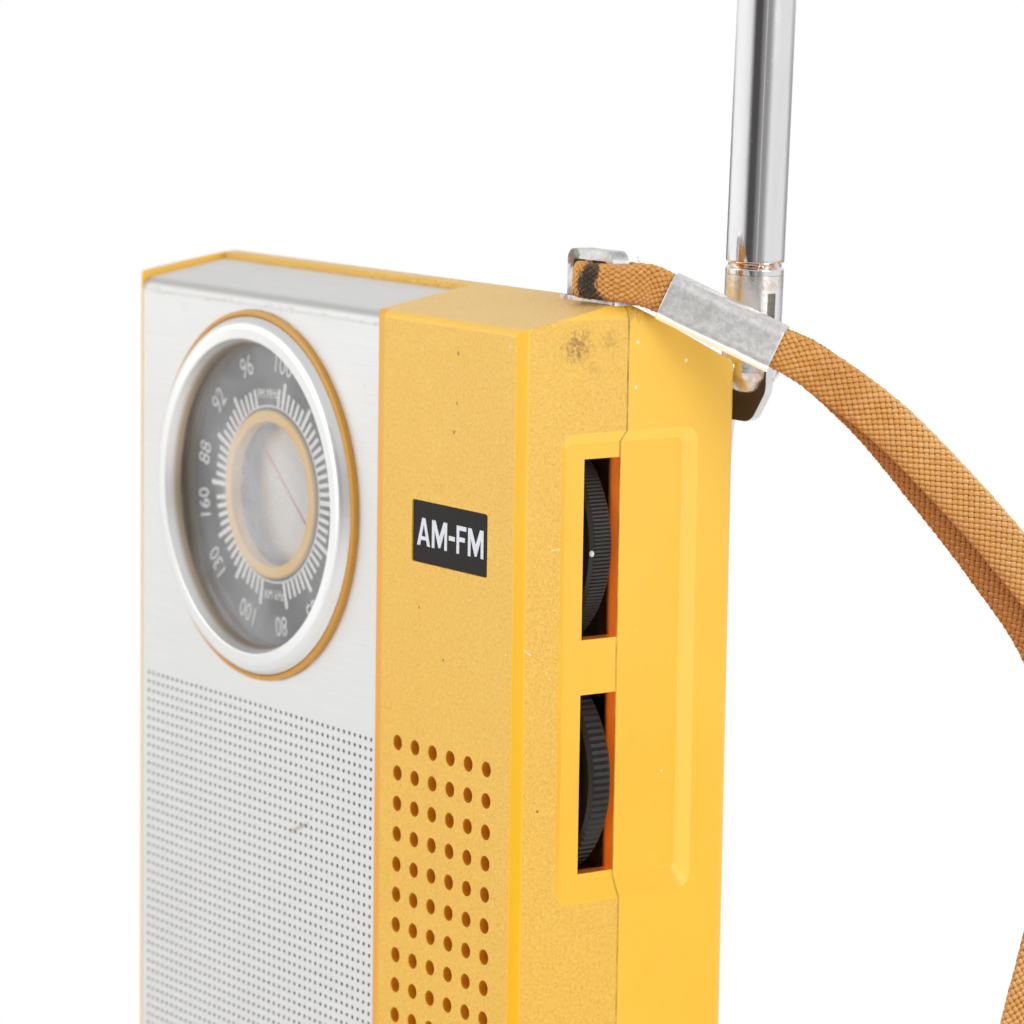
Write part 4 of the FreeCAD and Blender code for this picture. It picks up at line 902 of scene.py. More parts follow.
def add_plain_field(points, faces):
    """Triangles round the perforated field, sharing the corners on its rim."""
    known = {(round(point[0], 4), round(point[2], 4)): n
             for n, point in enumerate(points[:(COLUMNS + 1) * (ROWS + 1)])}
    loops, inner = plain_outline()
    flat, edges = [], []
    for loop in loops:
        first = len(flat)
        flat.extend(loop)
        edges.extend((first + i, first + (i + 1) % len(loop)) for i in range(len(loop)))
    flat.extend(inner)
    result = geometry.delaunay_2d_cdt([Vector(point) for point in flat], edges, [], 1, 1e-6)
    corners, triangles = result[0], result[2]
    number = {}
    for n, point in enumerate(corners):
        key = (round(point.x, 4), round(point.y, 4))
        if key in known:
            number[n] = known[key]
        else:
            number[n] = len(points)
            points.append((point.x, PLATE_FRONT, point.y))
    for triangle in triangles:
        x, z = sum((corners[i] for i in triangle), Vector((0, 0))) / len(triangle)
        if math.hypot(x - DIAL_X, z - DIAL_Z) < 22.0:
            continue
        if FIELD_LEFT < x < FIELD_RIGHT and FIELD_BOTTOM < z < FIELD_TOP:
            continue
        if not (PLATE_LEFT <= x <= PLATE_RIGHT and PLATE_BOTTOM <= z <= BEND_START):
            continue
        a, b, c = [corners[i] for i in triangle[:3]]
        area = (b.x - a.x) * (c.y - a.y) - (b.y - a.y) * (c.x - a.x)
        if abs(area) < 1e-7:
            continue
        face = [number[i] for i in triangle]
        faces.append(face if area > 0 else face[::-1])


def add_bent_top(points, faces):
    """The bend and the sloping top, continued from the upper edge of the front."""
    edge = {round(point[0], 3): n for n, point in enumerate(points)
            if abs(point[2] - BEND_START) < 1e-4}
    row = [edge[x] for x in sorted(edge)]
    columns = [points[n][0] for n in row]
    profile = []
    for q in range(1, 9):
        angle = PLATE_TURN * q / 8
        profile.append((PLATE_FRONT + BEND_RADIUS - BEND_RADIUS * math.cos(angle),
                        BEND_START + BEND_RADIUS * math.sin(angle)))
    y, z = profile[-1]
    profile += [(y + (TOP_BACK[0] - y) * q / 12, z + (TOP_BACK[1] - z) * q / 12)
                for q in range(1, 13)]
    for y, z in profile:
        following = range(len(points), len(points) + len(columns))
        points.extend((x, y, z) for x in columns)
        for q in range(len(columns) - 1):
            faces.append((row[q], row[q + 1], following[q + 1], following[q]))
        row = following


def front_plate():
    points, faces = perforated_field()
    add_plain_field(points, faces)
    first_bent = len(faces)
    add_bent_top(points, faces)
    mesh = bpy.data.meshes.new("front_plate_perforated")
    mesh.from_pydata([(x * MM, y * MM, z * MM) for x, y, z in points], [], faces)
    mesh.validate()
    mesh.update()
    mesh.polygons.foreach_set("use_smooth",
                              [i >= first_bent for i in range(len(mesh.polygons))])
    mesh.materials.append(PLATE)
    plate = link_object("front_plate_perforated", mesh)
    solid = plate.modifiers.new("thickness", "SOLIDIFY")
    solid.thickness = PLATE_THICKNESS * MM
    solid.offset = -1.0
    solid.use_even_offset = True
    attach(plate, "case")
    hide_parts("front_plate")


# ------------------------------------------------------------------ woven grille cloth
def grille_cloth():
    """A thin sheet whose grid points stand alternately forward and back."""
    margin, half_thickness, weave = 0.05, 0.045, 0.05
    columns, rows = 104, 144
    low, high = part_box("grille_cloth")
    middle = (low.y + high.y) / 2 / MM
    x, z = np.meshgrid(np.linspace(low.x / MM + margin, high.x / MM - margin, columns),
                       np.linspace(low.z / MM + margin, high.z / MM - margin, rows),
                       indexing="ij")
    i, j = np.indices((columns, rows))
    wave = np.where((i + j) % 2 == 0, 1.0, -1.0) * weave
    points = np.vstack([np.stack([x, middle + shift + wave, z], -1).reshape(-1, 3)
                        for shift in (-half_thickness, half_thickness)])
    count = columns * rows
    grid = np.arange(count).reshape(columns, rows)
    a, b, c, d = (part.ravel() for part in
                  (grid[:-1, :-1], grid[1:, :-1], grid[1:, 1:], grid[:-1, 1:]))
    quads = [np.stack([a, b, c, d], 1),
             np.stack([a + count, d + count, c + count, b + count], 1)]
    for line in (grid[0, :][::-1], grid[-1, :], grid[:, 0], grid[:, -1][::-1]):
        start, end = line[:-1], line[1:]
        quads.append(np.stack([start, start + count, end + count, end], 1))
    cloth = quads_object("grille_cloth_woven", points, np.vstack(quads), CLOTH,
                         "case")
    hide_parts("grille_cloth")


# ------------------------------------------------------------------ print on dial and badge
# Every part of a print is a pair: flat points (x, z) and faces.
def text_part(text, size, squeeze):
    """Outline text centred on the origin, narrowed by squeeze."""
    curve = bpy.data.curves.new("tmp_text", "FONT")
    curve.body = text
    curve.size = size
    curve.align_x = "CENTER"
    curve.align_y = "CENTER"
    curve.resolution_u = 3
    holder = link_object("tmp_text", curve)
    bpy.context.view_layer.update()
    graph = bpy.context.evaluated_depsgraph_get()
    mesh = bpy.data.meshes.new_from_object(holder.evaluated_get(graph))
    points = np.array([(vertex.co.x, vertex.co.y) for vertex in mesh.vertices])
    faces = [tuple(polygon.vertices) for polygon in mesh.polygons]
    bpy.data.objects.remove(holder)
    bpy.data.curves.remove(curve)
    bpy.data.meshes.remove(mesh)
    points = points - (points.min(0) + points.max(0)) / 2
    points[:, 0] *= squeeze
    return points, faces


def thick_print(name, parts, y, depth, material, body):
    """Closed thin solids standing off the plane y towards the front."""
    points, faces = [], []
    for part_points, part_faces in parts:
        # weld doubles so that the boundary is found exactly
        number, welded = {}, []
        for point in part_points:
            key = (round(float(point[0]), 5), round(float(point[1]), 5))
            number.setdefault(key, len(number))
            welded.append(number[key])
        flat = list(number)
        clean = []
        for face in part_faces:
            face = [welded[i] for i in face]
            face = [a for n, a in enumerate(face) if a != face[n - 1]]
            if len(set(face)) < 3:
                continue
            area = sum(flat[face[n - 1]][0] * flat[face[n]][1]
                       - flat[face[n]][0] * flat[face[n - 1]][1] for n in range(len(face)))
            if abs(area) < 1e-9:
                continue
            clean.append(face if area > 0 else face[::-1])
        first, count = len(points), len(flat)
        points += [(x, y - depth, z) for x, z in flat] + [(x, y, z) for x, z in flat]
        edges = {}
        for face in clean:
            faces.append([first + i for i in face])
            faces.append([first + count + i for i in face[::-1]])
            for i in range(len(face)):
                edges[face[i - 1], face[i]] = True
        for a, b in edges:
            if (b, a) not in edges:
                faces.append([first + b, first + a, first + count + a, first + count + b])
    mesh_object(name, points, faces, material, body, smooth=False)


def round_dial(part, radius, degrees, inward=False):
    """Moves a part to an angle on the dial, its top away from the centre (or inward)."""
    points, faces = part
    angle = math.radians(degrees)
    out = np.array((math.cos(angle), math.sin(angle)))
    right = np.array((math.sin(angle), -math.cos(angle)))
    sign = -1 if inward else 1
    centre = np.array((DIAL_X, DIAL_Z)) + out * radius
    return centre + points[:, :1] * right * sign + points[:, 1:] * out * sign, faces


# Dial lettering: text size, squeeze, radius, then (text, degrees)
DIAL_TEXTS = (
    (3.55, 0.82, 15.85, (("88", 167.7), ("92", 140.5), ("96", 111.8), ("100", 81.0),
                         ("104", 53.0), ("108", 26.0))),
    (3.35, 0.80, 15.75, (("160", 189.9), ("130", 217.8), ("100", 250.0), ("80", 278.5),
                         ("65", 306.0), ("54", 332.0))),
)
BAND_TEXTS = (("FM MHz", 95.0), ("AM kHz", 273.0))


def dial_print():
    """FM half over the top, AM half below, a ring line inside; and the red pointer."""
    parts = []
    tick_start = 10.55
    for q in range(70):
        angle = 180.0 - 5.1 * q
        if 84 < (angle % 360) < 106 or 262 < (angle % 360) < 284:
            continue
        end, width = (13.75, 0.58) if q % 5 == 0 else (12.75, 0.50)
        square = np.array([(-0.5, -0.5), (0.5, -0.5), (0.5, 0.5), (-0.5, 0.5)])
        tick = square * np.array((width, end - tick_start)), [(0, 1, 2, 3)]
        parts.append(round_dial(tick, (tick_start + end) / 2, angle))
    for size, squeeze, radius, texts in DIAL_TEXTS:
        for text, angle in texts:
            parts.append(round_dial(text_part(text, size, squeeze), radius, angle))
    for text, angle in BAND_TEXTS:
        part = text_part(text, 1.65, 0.80)
        parts.append(round_dial(part, 12.0, angle, inward=angle > 180))
    steps = 180
    line, quads = [], []
    for q in range(steps):
        angle = 2 * math.pi * q / steps
        line += [(DIAL_X + radius * math.cos(angle), DIAL_Z + radius * math.sin(angle))
                 for radius in (10.42, 10.62)]
        a, b = 2 * q, 2 * ((q + 1) % steps)
        quads.append((a, a + 1, b + 1, b))
    parts.append((np.array(line), quads))
    thick_print("dial_scale_print", parts, -10.9, 0.03, DIAL_PRINT, "case")

    # one red line across the disc; it turns with the disc
    direction = unit(np.array((-5.05, 97.9)) - np.array((-14.5, 106.07)))
    length = direction * 8.25
    width = np.array((-direction[1], direction[0])) * 0.15
    centre = np.array((DIAL_X, DIAL_Z))
    outline = np.array([centre - length - width, centre + length - width,
                        centre + length + width, centre - length + width])
    thick_print("dial_pointer_line", [(outline, [(0, 1, 2, 3)])], -8.5, 0.03, POINTER_RED,
                "dial_pointer")


def letter(character, width, height, stroke):
    """Sans capital as non-overlapping faces; the lower left of its box is the origin."""
    if character == "-":
        low = 0.40 * height
        outline = [(0, low), (0, low + stroke), (width, low + stroke), (width, low)]
        return outline, [(0, 1, 2, 3)]
    if character == "F":
        arm, reach = 0.60 * height, 0.86 * width
        outline = [(0, 0), (0, height), (width, height), (width, height - stroke),
                   (stroke, height - stroke), (stroke, arm), (reach, arm),
                   (reach, arm - stroke), (stroke, arm - stroke), (stroke, 0)]
        return outline, [range(len(outline))]
    middle = width / 2
    if character == "M":
        shoulder, tip = 1.35 * stroke, 0.34 * stroke
        outline = [(0, 0), (0, height), (shoulder, height), (middle, 0.45 * height),
                   (width - shoulder, height), (width, height), (width, 0),
                   (width - stroke, 0), (width - stroke, 0.66 * height),
                   (middle + tip, 0.04 * height), (middle - tip, 0.04 * height),
                   (stroke, 0.66 * height), (stroke, 0)]
        return outline, [range(len(outline))]
    # A: points of the left leg, their mirror images, then the inner peak
    peak = 0.78 * height
    bar_low = 0.20 * height
    bar_high = bar_low + 0.85 * stroke
    foot = 1.12 * stroke
    left = [((middle - 0.62 * stroke) * z / height, z)
            for z in (0, bar_low, bar_high, peak, height)]
    left += [(foot + (middle - foot) * z / peak, z) for z in (0, bar_low, bar_high)]
    points = left + [(width - x, z) for x, z in left] + [(middle, peak)]
    return points, [(0, 1, 6, 5), (1, 2, 7, 6), (2, 3, 16, 7), (8, 13, 14, 9), (9, 14, 15, 10),
                    (10, 15, 16, 11), (6, 7, 15, 14), (3, 4, 12, 11, 16)]


def badge_print():
    centre_x, centre_z = 28.75, 101.54
    height, stroke, gap = 3.10, 0.50, 0.36
    word = (("A", 2.55), ("M", 2.95), ("-", 1.15), ("F", 1.85), ("M", 2.95))
    total = sum(width for _, width in word) + gap * (len(word) - 1)
    x, parts = centre_x - total / 2, []
    for character, width in word:
        points, faces = letter(character, width, height, stroke)
        parts.append((np.array(points) + np.array((x, centre_z - height / 2)), faces))
        x += width + gap
    thick_print("badge_lettering", parts, -14.05, 0.04, BADGE_PRINT, "case")


# ------------------------------------------------------------------ mark on the tuning wheel
def wheel_mark():
    """Moulded dot filled with white paint, on the chamfer at the front of the wheel's rim."""
    wheel_x, wheel_z, wheel_radius = 28.5, 101.05, 12.55
    radius, rise, sink = 0.36, 0.15, 0.12
    rings, sides = 5, 20
    angle = math.radians(-2.0)
    centre = np.array((wheel_x + wheel_radius * math.cos(angle), -3.78,
                       wheel_z + wheel_radius * math.sin(angle)))
    out = unit(np.array((math.cos(angle) * 0.55, -0.83, math.sin(angle) * 0.55)))
    across = unit(np.cross(out, (0, 0, 1.0)))
    upward = np.cross(across, out)
    points = []
    for i in range(rings):
        lift = math.pi / 2 * i / rings
        for q in range(sides):
            turn = 2 * math.pi * q / sides
            spoke = across * math.cos(turn) * 0.8 + upward * math.sin(turn)
            points.append(centre + radius * math.cos(lift) * spoke
                          + out * rise * math.sin(lift))
    top, bottom = len(points), len(points) + 1
    points += [centre + out * rise, centre - out * sink]
    faces = list(ring_quads(rings, sides))
    last = (rings - 1) * sides
    for q in range(sides):
        beside = (q + 1) % sides
        faces.append((last + q, last + beside, top))
        faces.append((q, bottom, beside))
    mesh_object("tuning_wheel_mark", points, faces, BADGE_PRINT, "tuning_knob")


# ------------------------------------------------------------------ braided strap
def spline(points, step):
    """Centripetal Catmull-Rom through points, resampled evenly by the first three columns.

    Returns the samples and the length along the path at each.
    """
    points = np.asarray(points, float)
    points = np.vstack([2 * points[0] - points[1], points, 2 * points[-1] - points[-2]])
    pieces = []
    for i in range(1, len(points) - 2):
        p0, p1, p2, p3 = points[i - 1:i + 3]
        gaps = np.linalg.norm(np.diff(points[i - 1:i + 3, :3], axis=0), axis=1) ** 0.5
        t0, t1, t2, t3 = np.concatenate([[0.0], np.cumsum(gaps)])
        t = np.linspace(t1, t2, 40, endpoint=False)[:, None]

        def between(start, end, first, second):
            return (end - t) / (end - start) * first + (t - start) / (end - start) * second

        a1, a2, a3 = between(t0, t1, p0, p1), between(t1, t2, p1, p2), between(t2, t3, p2, p3)
        b1, b2 = between(t0, t2, a1, a2), between(t1, t3, a2, a3)
        pieces.append(between(t1, t2, b1, b2))
    path = np.vstack(pieces + [points[-2][None, :]])
    lengths = np.linalg.norm(np.diff(path[:, :3], axis=0), axis=1)
    travelled = np.concatenate([[0], np.cumsum(lengths)])
    count = max(8, int(round(travelled[-1] / step)))
    even = np.linspace(0, travelled[-1], count + 1)
    return np.stack([np.interp(even, travelled, column) for column in path.T], 1), even


def tangents(path):
    return unit(np.gradient(path, axis=0))


# Unit section of the flattened tube (a superellipse), and the share of the girth at each
# point for a strap of nominal size
STRAP_WIDTH, STRAP_THICKNESS = 5.2, 2.0
SECTION_ANGLE = np.linspace(0, 2 * math.pi, 721)
SECTION_X, SECTION_Y = (np.sign(wave) * np.abs(wave) ** (2 / 2.6)
                        for wave in (np.cos(SECTION_ANGLE), np.sin(SECTION_ANGLE)))
SIDE_LENGTHS = np.linalg.norm(np.diff(np.stack(
    [SECTION_X * STRAP_WIDTH / 2, SECTION_Y * STRAP_THICKNESS / 2], 1), axis=0), axis=1)
GIRTH = SIDE_LENGTHS.sum()
SHARE = np.concatenate([[0], np.cumsum(SIDE_LENGTHS)]) / GIRTH

YARNS = 28
YARN_WIDTH, YARN_HEIGHT = 0.300, 0.205   # half sizes
YARN_WAVE = 0.135                        # how far a yarn rises and dives
YARN_SIDES = 6
CROSSING = GIRTH / YARNS                 # yarns lie at 45 degrees: one turn per girth
PATH_STEP = CROSSING / 3
CORE_SIDES = 28


def section_at(share):
    return np.interp(share, SHARE, SECTION_X), np.interp(share, SHARE, SECTION_Y)


def braid(name, stations):
    """Sleeve of yarns going over one, under one, round a solid core.

    Station columns: x, y, z, width, thickness, and the direction of the width.
    """
    path, travelled = spline(stations, PATH_STEP)
    count = len(path)
    centre, width, thickness = path[:, :3], path[:, 3], path[:, 4]
    tangent = tangents(centre)
    across = path[:, 5:8]
    across = unit(across - (across * tangent).sum(1)[:, None] * tangent)
    through = np.cross(tangent, across)

    def on_tube(share, lift):
        """Points at a share of the girth, lifted outwards, and the outward directions."""
        share = np.mod(share, 1.0)
        unit_x, unit_y = section_at(share)
        after_x, after_y = section_at(np.mod(share + 1e-3, 1.0))
        before_x, before_y = section_at(np.mod(share - 1e-3, 1.0))
        half_width, half_thickness = width / 2 - 0.30, thickness / 2 - 0.30
        along_x = (after_x - before_x) * half_width
        along_y = (after_y - before_y) * half_thickness
        length = np.sqrt(along_x * along_x + along_y * along_y)
        out_x, out_y = along_y / length, -along_x / length
        x = unit_x * half_width + out_x * lift
        y = unit_y * half_thickness + out_y * lift
        return (centre + across * x[:, None] + through * y[:, None],
                across * out_x[:, None] + through * out_y[:, None])

    rnd = np.random.RandomState(11)
    half = YARNS // 2
    phase = math.pi * travelled / CROSSING
    side_quads = ring_quads(count, YARN_SIDES)[:, ::-1]
    last = (count - 1) * YARN_SIDES
    caps = np.array([(0, 1, 2, 3), (3, 4, 5, 0),
                     (last + 3, last + 2, last + 1, last), (last, last + 5, last + 4, last + 3)])
    all_points, all_quads, all_marks = [], [], []
    for sign in (1, -1):
        for i in range(half):
            jitter = np.sin(travelled * rnd.uniform(0.8, 1.6) + rnd.uniform(0, 6.28))
            share = i / half + sign * travelled / GIRTH + 0.010 * jitter / half
            wave = YARN_WAVE * (1 + 0.12 * rnd.randn())
            lift = sign * wave * np.cos(phase) + 0.012 * rnd.randn()
            middle, out = on_tube(share, lift)
            direction = tangents(middle)
            side = unit(np.cross(direction, out))
            upward = np.cross(side, direction)
            # on top a yarn spreads and swells, where it dives it is squeezed
            full = 0.5 + 0.5 * sign * np.cos(phase)
            half_width = YARN_WIDTH * (0.90 + 0.16 * full) * (1 + 0.05 * rnd.randn())
            half_height = YARN_HEIGHT * (0.85 + 0.25 * full)
            rings = []
            for q in range(YARN_SIDES):
                angle = 2 * math.pi * q / YARN_SIDES
                rings.append(middle + side * (half_width * math.cos(angle))[:, None]
                             + upward * (half_height * math.sin(angle))[:, None])
            first = len(all_points) * count * YARN_SIDES
            all_quads += [side_quads + first, caps + first]
            marks = np.zeros((count, YARN_SIDES, 3))
            marks[:, :, 0] = (travelled * 1.414)[:, None]
            marks[:, :, 1] = full[:, None]
            marks[:, :, 2] = (i + (0 if sign > 0 else half)) * 1.37
            all_marks.append(marks.reshape(-1, 3))
            all_points.append(np.stack(rings, 1).reshape(-1, 3))
    quads_object(name, np.vstack(all_points), np.vstack(all_quads), YARN, "strap",
                 yarn=np.vstack(all_marks))

    # filling inside the sleeve, so that nothing shows through between the yarns
    # its dark brown is painted shade for the gaps between the yarns
    stride = int(0.8 / PATH_STEP)
    chosen = np.unique(np.concatenate([np.arange(0, count, stride), [count - 1]]))
    unit_x, unit_y = section_at(np.arange(CORE_SIDES) / CORE_SIDES)
    points = np.vstack([
        centre[i] + across[i] * (unit_x * (width[i] / 2 - 0.42))[:, None]
        + through[i] * (unit_y * (thickness[i] / 2 - 0.42))[:, None] for i in chosen])
    fix_normals(mesh_object(name + "_core", points, bar_faces(len(chosen), CORE_SIDES), CORE,
                            "strap"))


def in_ferrule(along, sideways):
    """A point by its distance along the ferrule's axis and to its side."""
    return FERRULE_TOP + FERRULE_AXIS * along + STRAP_SIDE * sideways


def in_hanging_plane(outward, z, sideways):
    """A point by its distance out along the diagonal, its height, and its side offset."""
    return np.array((FERRULE_TOP[0] + DIAGONAL * (outward + sideways),
                     FERRULE_TOP[1] + DIAGONAL * (outward - sideways), z))


# Path of the hanging loop: outward, height, sideways
LOOP_PATH = (
    (15.2, 122.05, 1.00), (18.4, 120.05, 1.05), (24.6, 115.55, 1.08), (31.2, 109.25, 1.08),
    (37.3, 102.75, 1.08), (43.9, 94.6, 1.08), (49.9, 84.9, 1.0), (54.6, 73.3, 0.8),
    (57.55, 60.65, 0.6), (58.5, 48.0, 0.4), (57.75, 36.4, 0.2), (54.95, 26.7, 0.1),
    (50.6, 21.4, 0.0), (45.6, 20.3, 0.0), (41.5, 23.2, 0.0), (38.9, 29.6, -0.1),
    (38.95, 38.8, -0.3), (40.85, 49.5, -0.5), (43.25, 60.5, -0.8), (44.9, 70.85, -1.0),
    (44.9, 80.6, -1.08), (41.7, 91.4, -1.08), (35.3, 100.6, -1.08), (28.6, 108.8, -1.08),
    (22.7, 115.6, -1.05), (17.9, 119.9, -1.0), (15.0, 122.0, -0.98),
)
LOOP_WIDTHS = [4.8, 5.1] + [STRAP_WIDTH] * 23 + [5.1, 4.8]
# Ends of the loop inside the ferrule: along, sideways, width, thickness
LOOP_IN = ((7.8, 0.93, 4.25, 1.75), (10.5, 0.93, 4.3, 1.75), (13.1, 0.95, 4.4, 1.80))
LOOP_OUT = ((13.1, -0.95, 4.4, 1.80), (10.5, -0.93, 4.3, 1.75), (7.8, -0.93, 4.25, 1.75))
# The short end: inside the ferrule as above, and round the bracket leg
EYE_IN = ((5.6, 0.93, 4.25, 1.75), (3.0, 0.93, 4.25, 1.75), (0.4, 0.98, 4.45, 1.80))
EYE_OUT = ((0.4, -0.95, 4.4, 1.75), (3.0, -0.93, 4.25, 1.75), (5.6, -0.93, 4.25, 1.75))
EYE_CENTRE = (39.8, 0.0)
EYE_ANGLE = math.radians(25)
# Level position along and across the eye's own axis, height, width, thickness
EYE_PATH = (
    (1.3, -2.16, 130.08, 4.05, 1.60), (-1.2, -2.12, 130.12, 4.0, 1.55),
    (-3.1, -1.92, 130.14, 3.95, 1.50), (-4.15, -1.15, 130.16, 3.92, 1.45),
    (-4.5, 0.0, 130.14, 3.88, 1.45), (-4.15, 1.15, 130.14, 3.92, 1.45),
    (-3.1, 1.92, 130.16, 4.0, 1.50), (-1.2, 2.10, 130.12, 4.0, 1.5),
    (1.3, 2.12, 130.05, 4.0, 1.5),
)


def ferrule_stations(rows):
    return [(*in_ferrule(along, side), width, thick) for along, side, width, thick in rows]


def strap_loop():
    """The long loop that hangs from the ferrule."""
    stations = ferrule_stations(LOOP_IN)
    stations += [(*in_hanging_plane(*place), width, STRAP_THICKNESS)
                 for place, width in zip(LOOP_PATH, LOOP_WIDTHS)]
    stations += ferrule_stations(LOOP_OUT)
    rows = []
    for i, tangent in enumerate(tangents(np.array(stations)[:, :3])):
        across = unit(np.cross(STRAP_SIDE, tangent))
        # the band rolls a little on its way down, as a soft strap does
        share = min(1.0, max(0.0, (i / (len(stations) - 1) - 0.28) / 0.50))
        roll = math.radians(34.0) * math.sin(math.pi * share) ** 2
        across = across * math.cos(roll) + np.cross(tangent, across) * math.sin(roll)
        rows.append((*stations[i], *across))
    braid("strap_loop_braid", rows)


def strap_eye():
    """The short end round the bracket leg, its width upright."""
    cosine, sine = math.cos(EYE_ANGLE), math.sin(EYE_ANGLE)
    stations = ferrule_stations(EYE_IN)
    stations.append((*in_hanging_plane(-1.9, 129.75, 1.22), 4.75, 1.85))
    stations += [(EYE_CENTRE[0] + cosine * p - sine * q, EYE_CENTRE[1] + sine * p + cosine * q,
                  z, width, thick) for p, q, z, width, thick in EYE_PATH]
    stations.append((*in_hanging_plane(-1.9, 129.6, -1.05), 4.5, 1.7))
    stations += ferrule_stations(EYE_OUT)
    rows = []
    for station, tangent in zip(stations, tangents(np.array(stations)[:, :3])):
        across = unit(np.array((0, 0, 1.0)) - tangent * tangent[2])
        rows.append((*station, *across))
    braid("strap_eye_braid", rows)


def ferrule():
    """Folded sheet-metal sleeve: rounded section, rolled rims, slightly pillowed faces."""
    sides = 96
    sheet, rim = 0.40, 0.20              # wall thickness, radius of the rolled rims
    half_height, half_width = 2.70, 2.34
    drop, pillow = 0.20, 0.05
    power = 2.0 / 4.4                    # superellipse that rounds the section
    upward = np.cross(STRAP_SIDE, FERRULE_AXIS)
    # profile rows: distance along the axis, inset from the outer skin
    roll = [(rim - rim * math.cos(math.pi / 2 * q / 6), rim - rim * math.sin(math.pi / 2 * q / 6))
            for q in range(7)]
    straight = FERRULE_LENGTH - 2 * rim
    profile = roll + [(rim + straight * q / 24, 0.0) for q in range(1, 24)]
    profile += [(FERRULE_LENGTH - along, inset) for along, inset in reversed(roll)]
    profile += [(FERRULE_LENGTH - along, sheet - inset) for along, inset in reversed(roll)]
    profile += [(FERRULE_LENGTH - rim - straight * q / 12, sheet) for q in range(1, 12)]
    profile += [(along, sheet - inset) for along, inset in roll]
    points = []
    for along, inset in profile:
        swell = pillow * math.sin(math.pi * along / FERRULE_LENGTH) if inset < 0.01 else 0.0
        for q in range(sides):
            angle = 2 * math.pi * q / sides
            u, w = (math.copysign(abs(wave) ** power, wave)
                    for wave in (math.cos(angle), math.sin(angle)))
            bulge = swell * (1 - u * u) if abs(w) > 0.9 else 0.0
            points.append(FERRULE_TOP + FERRULE_AXIS * along
                          + upward * ((half_height - inset) * u - drop)
                          + STRAP_SIDE * ((half_width - inset + bulge) * w))
    sleeve = mesh_object("strap_ferrule_sleeve", points,
                         ring_quads(len(profile), sides, closed=True), FERRULE, "strap")
    fix_normals(sleeve)
    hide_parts("strap_ferrule")


def bracket_foot():
    """Thin plate with rounded corners under the strap bracket."""
    middle_x, corner_radius = 36.25, 0.45
    # corner centres and the angle where each arc starts
    corners = ((40.9, -1.25, -90), (40.9, 1.25, 0), (31.6, 1.25, 90), (31.6, -1.25, 180))
    outline = []
    for x, y, start in corners:
        for q in range(5):
            angle = math.radians(start + 90 * q / 4)
            outline.append((x + corner_radius * math.cos(angle),
                            y + corner_radius * math.sin(angle)))
    points = []
    # height and growth of the outline at each level
    for z, growth in ((127.55, 0.0), (128.02, 0.0), (128.12, -0.08), (128.14, -0.22)):
        for x, y in outline:
            reach = math.hypot(x - middle_x, y)
            points.append((x + growth * (x - middle_x) / reach, y + growth * y / reach, z))
    mesh_object("strap_bracket_foot", points, bar_faces(4, len(outline)), BRACKET, "case",
                smooth=False)


# Loose fibres: root, direction
FIBRES = (
    ((42.0, 1.2, 128.5), (0.5, -0.7, -0.9)), ((42.3, 1.6, 128.3), (0.9, -0.3, -1.0)),
    ((41.2, 0.2, 128.5), (-0.4, -0.8, -0.7)), ((40.6, -2.9, 128.2), (0.2, -0.9, -0.4)),
    ((42.6, 0.9, 132.3), (0.1, -0.4, 0.9)), ((38.0, -3.6, 131.9), (-0.5, -0.5, 0.6)),
    ((52.4, 11.8, 122.0), (0.9, 0.1, -0.9)), ((52.9, 12.0, 121.0), (0.2, -0.6, -1.1)),
)
HIDDEN_FIBRE = 2      # lies inside the bracket's foot; it only takes its random draws


def fibre(name, path):
    """Round bar along a path, tapering to half its radius."""
    radius, sides = 0.035, 6
    centre, _ = spline(path, 0.25)
    tangent = tangents(centre)
    upright = abs(tangent[0][2]) < 0.8
    reference = np.array((0.0, 0.0, 1.0) if upright else (0.0, 1.0, 0.0))
    points = []
    for i in range(len(centre)):
        side = unit(np.cross(tangent[i], reference))
        upward = np.cross(side, tangent[i])
        reach = radius * (1.0 - 0.5 * i / (len(centre) - 1))
        for q in range(sides):
            angle = 2 * math.pi * q / sides
            points.append(centre[i] + reach * (side * math.cos(angle)
                                               + upward * math.sin(angle)))
    fix_normals(mesh_object(name, points, bar_faces(len(centre), sides), YARN, "strap"))


def loose_fibres():
    """A few broken fibres standing off the braid."""
    rnd = random.Random(5)

    def stray(reach):
        return np.array([rnd.uniform(-reach, reach) for _ in range(3)])

    for i, (root, direction) in enumerate(FIBRES):
        root, direction = np.array(root), np.array(direction)
        path = [root - direction * 0.25, root, root + direction * 0.5 + stray(0.2),
                root + direction + stray(0.35)]
        if i != HIDDEN_FIBRE:
            fibre("strap_fibre_%d" % i, path)


front_plate()
grille_cloth()
dial_print()
badge_print()
wheel_mark()
strap_loop()
strap_eye()
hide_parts("wrist_strap")
ferrule()
bracket_foot()
loose_fibres()


# ------------------------------------------------------------------ stage
def floor_material():
    """White sheet that turns into plain white light away from the object."""
    mat = new_material("studio_floor")
    x, y, _ = mat.place.split()
    tone = mat.noise(scale=0.02, detail=3.0)
    sheet = mat.node("ShaderNodeBsdfDiffuse",
                     {0: tone.blend((0.955, 0.955, 0.955), (0.97, 0.97, 0.97))})
    seen = mat.node("ShaderNodeLightPath", output="Is Camera Ray")
    radius = hypot(x, y)
    light = mat.node("ShaderNodeEmission", {"Strength": seen.lerp(0.90, 1.0)})
    # the change comes nearer in for the camera than for other rays
    far = seen.lerp(radius.ramp(zero=110.0, one=260.0), radius.ramp(zero=62.0, one=122.0))
    return mat.close(mat.node("ShaderNodeMixShader", {0: far, 1: sheet, 2: light}))


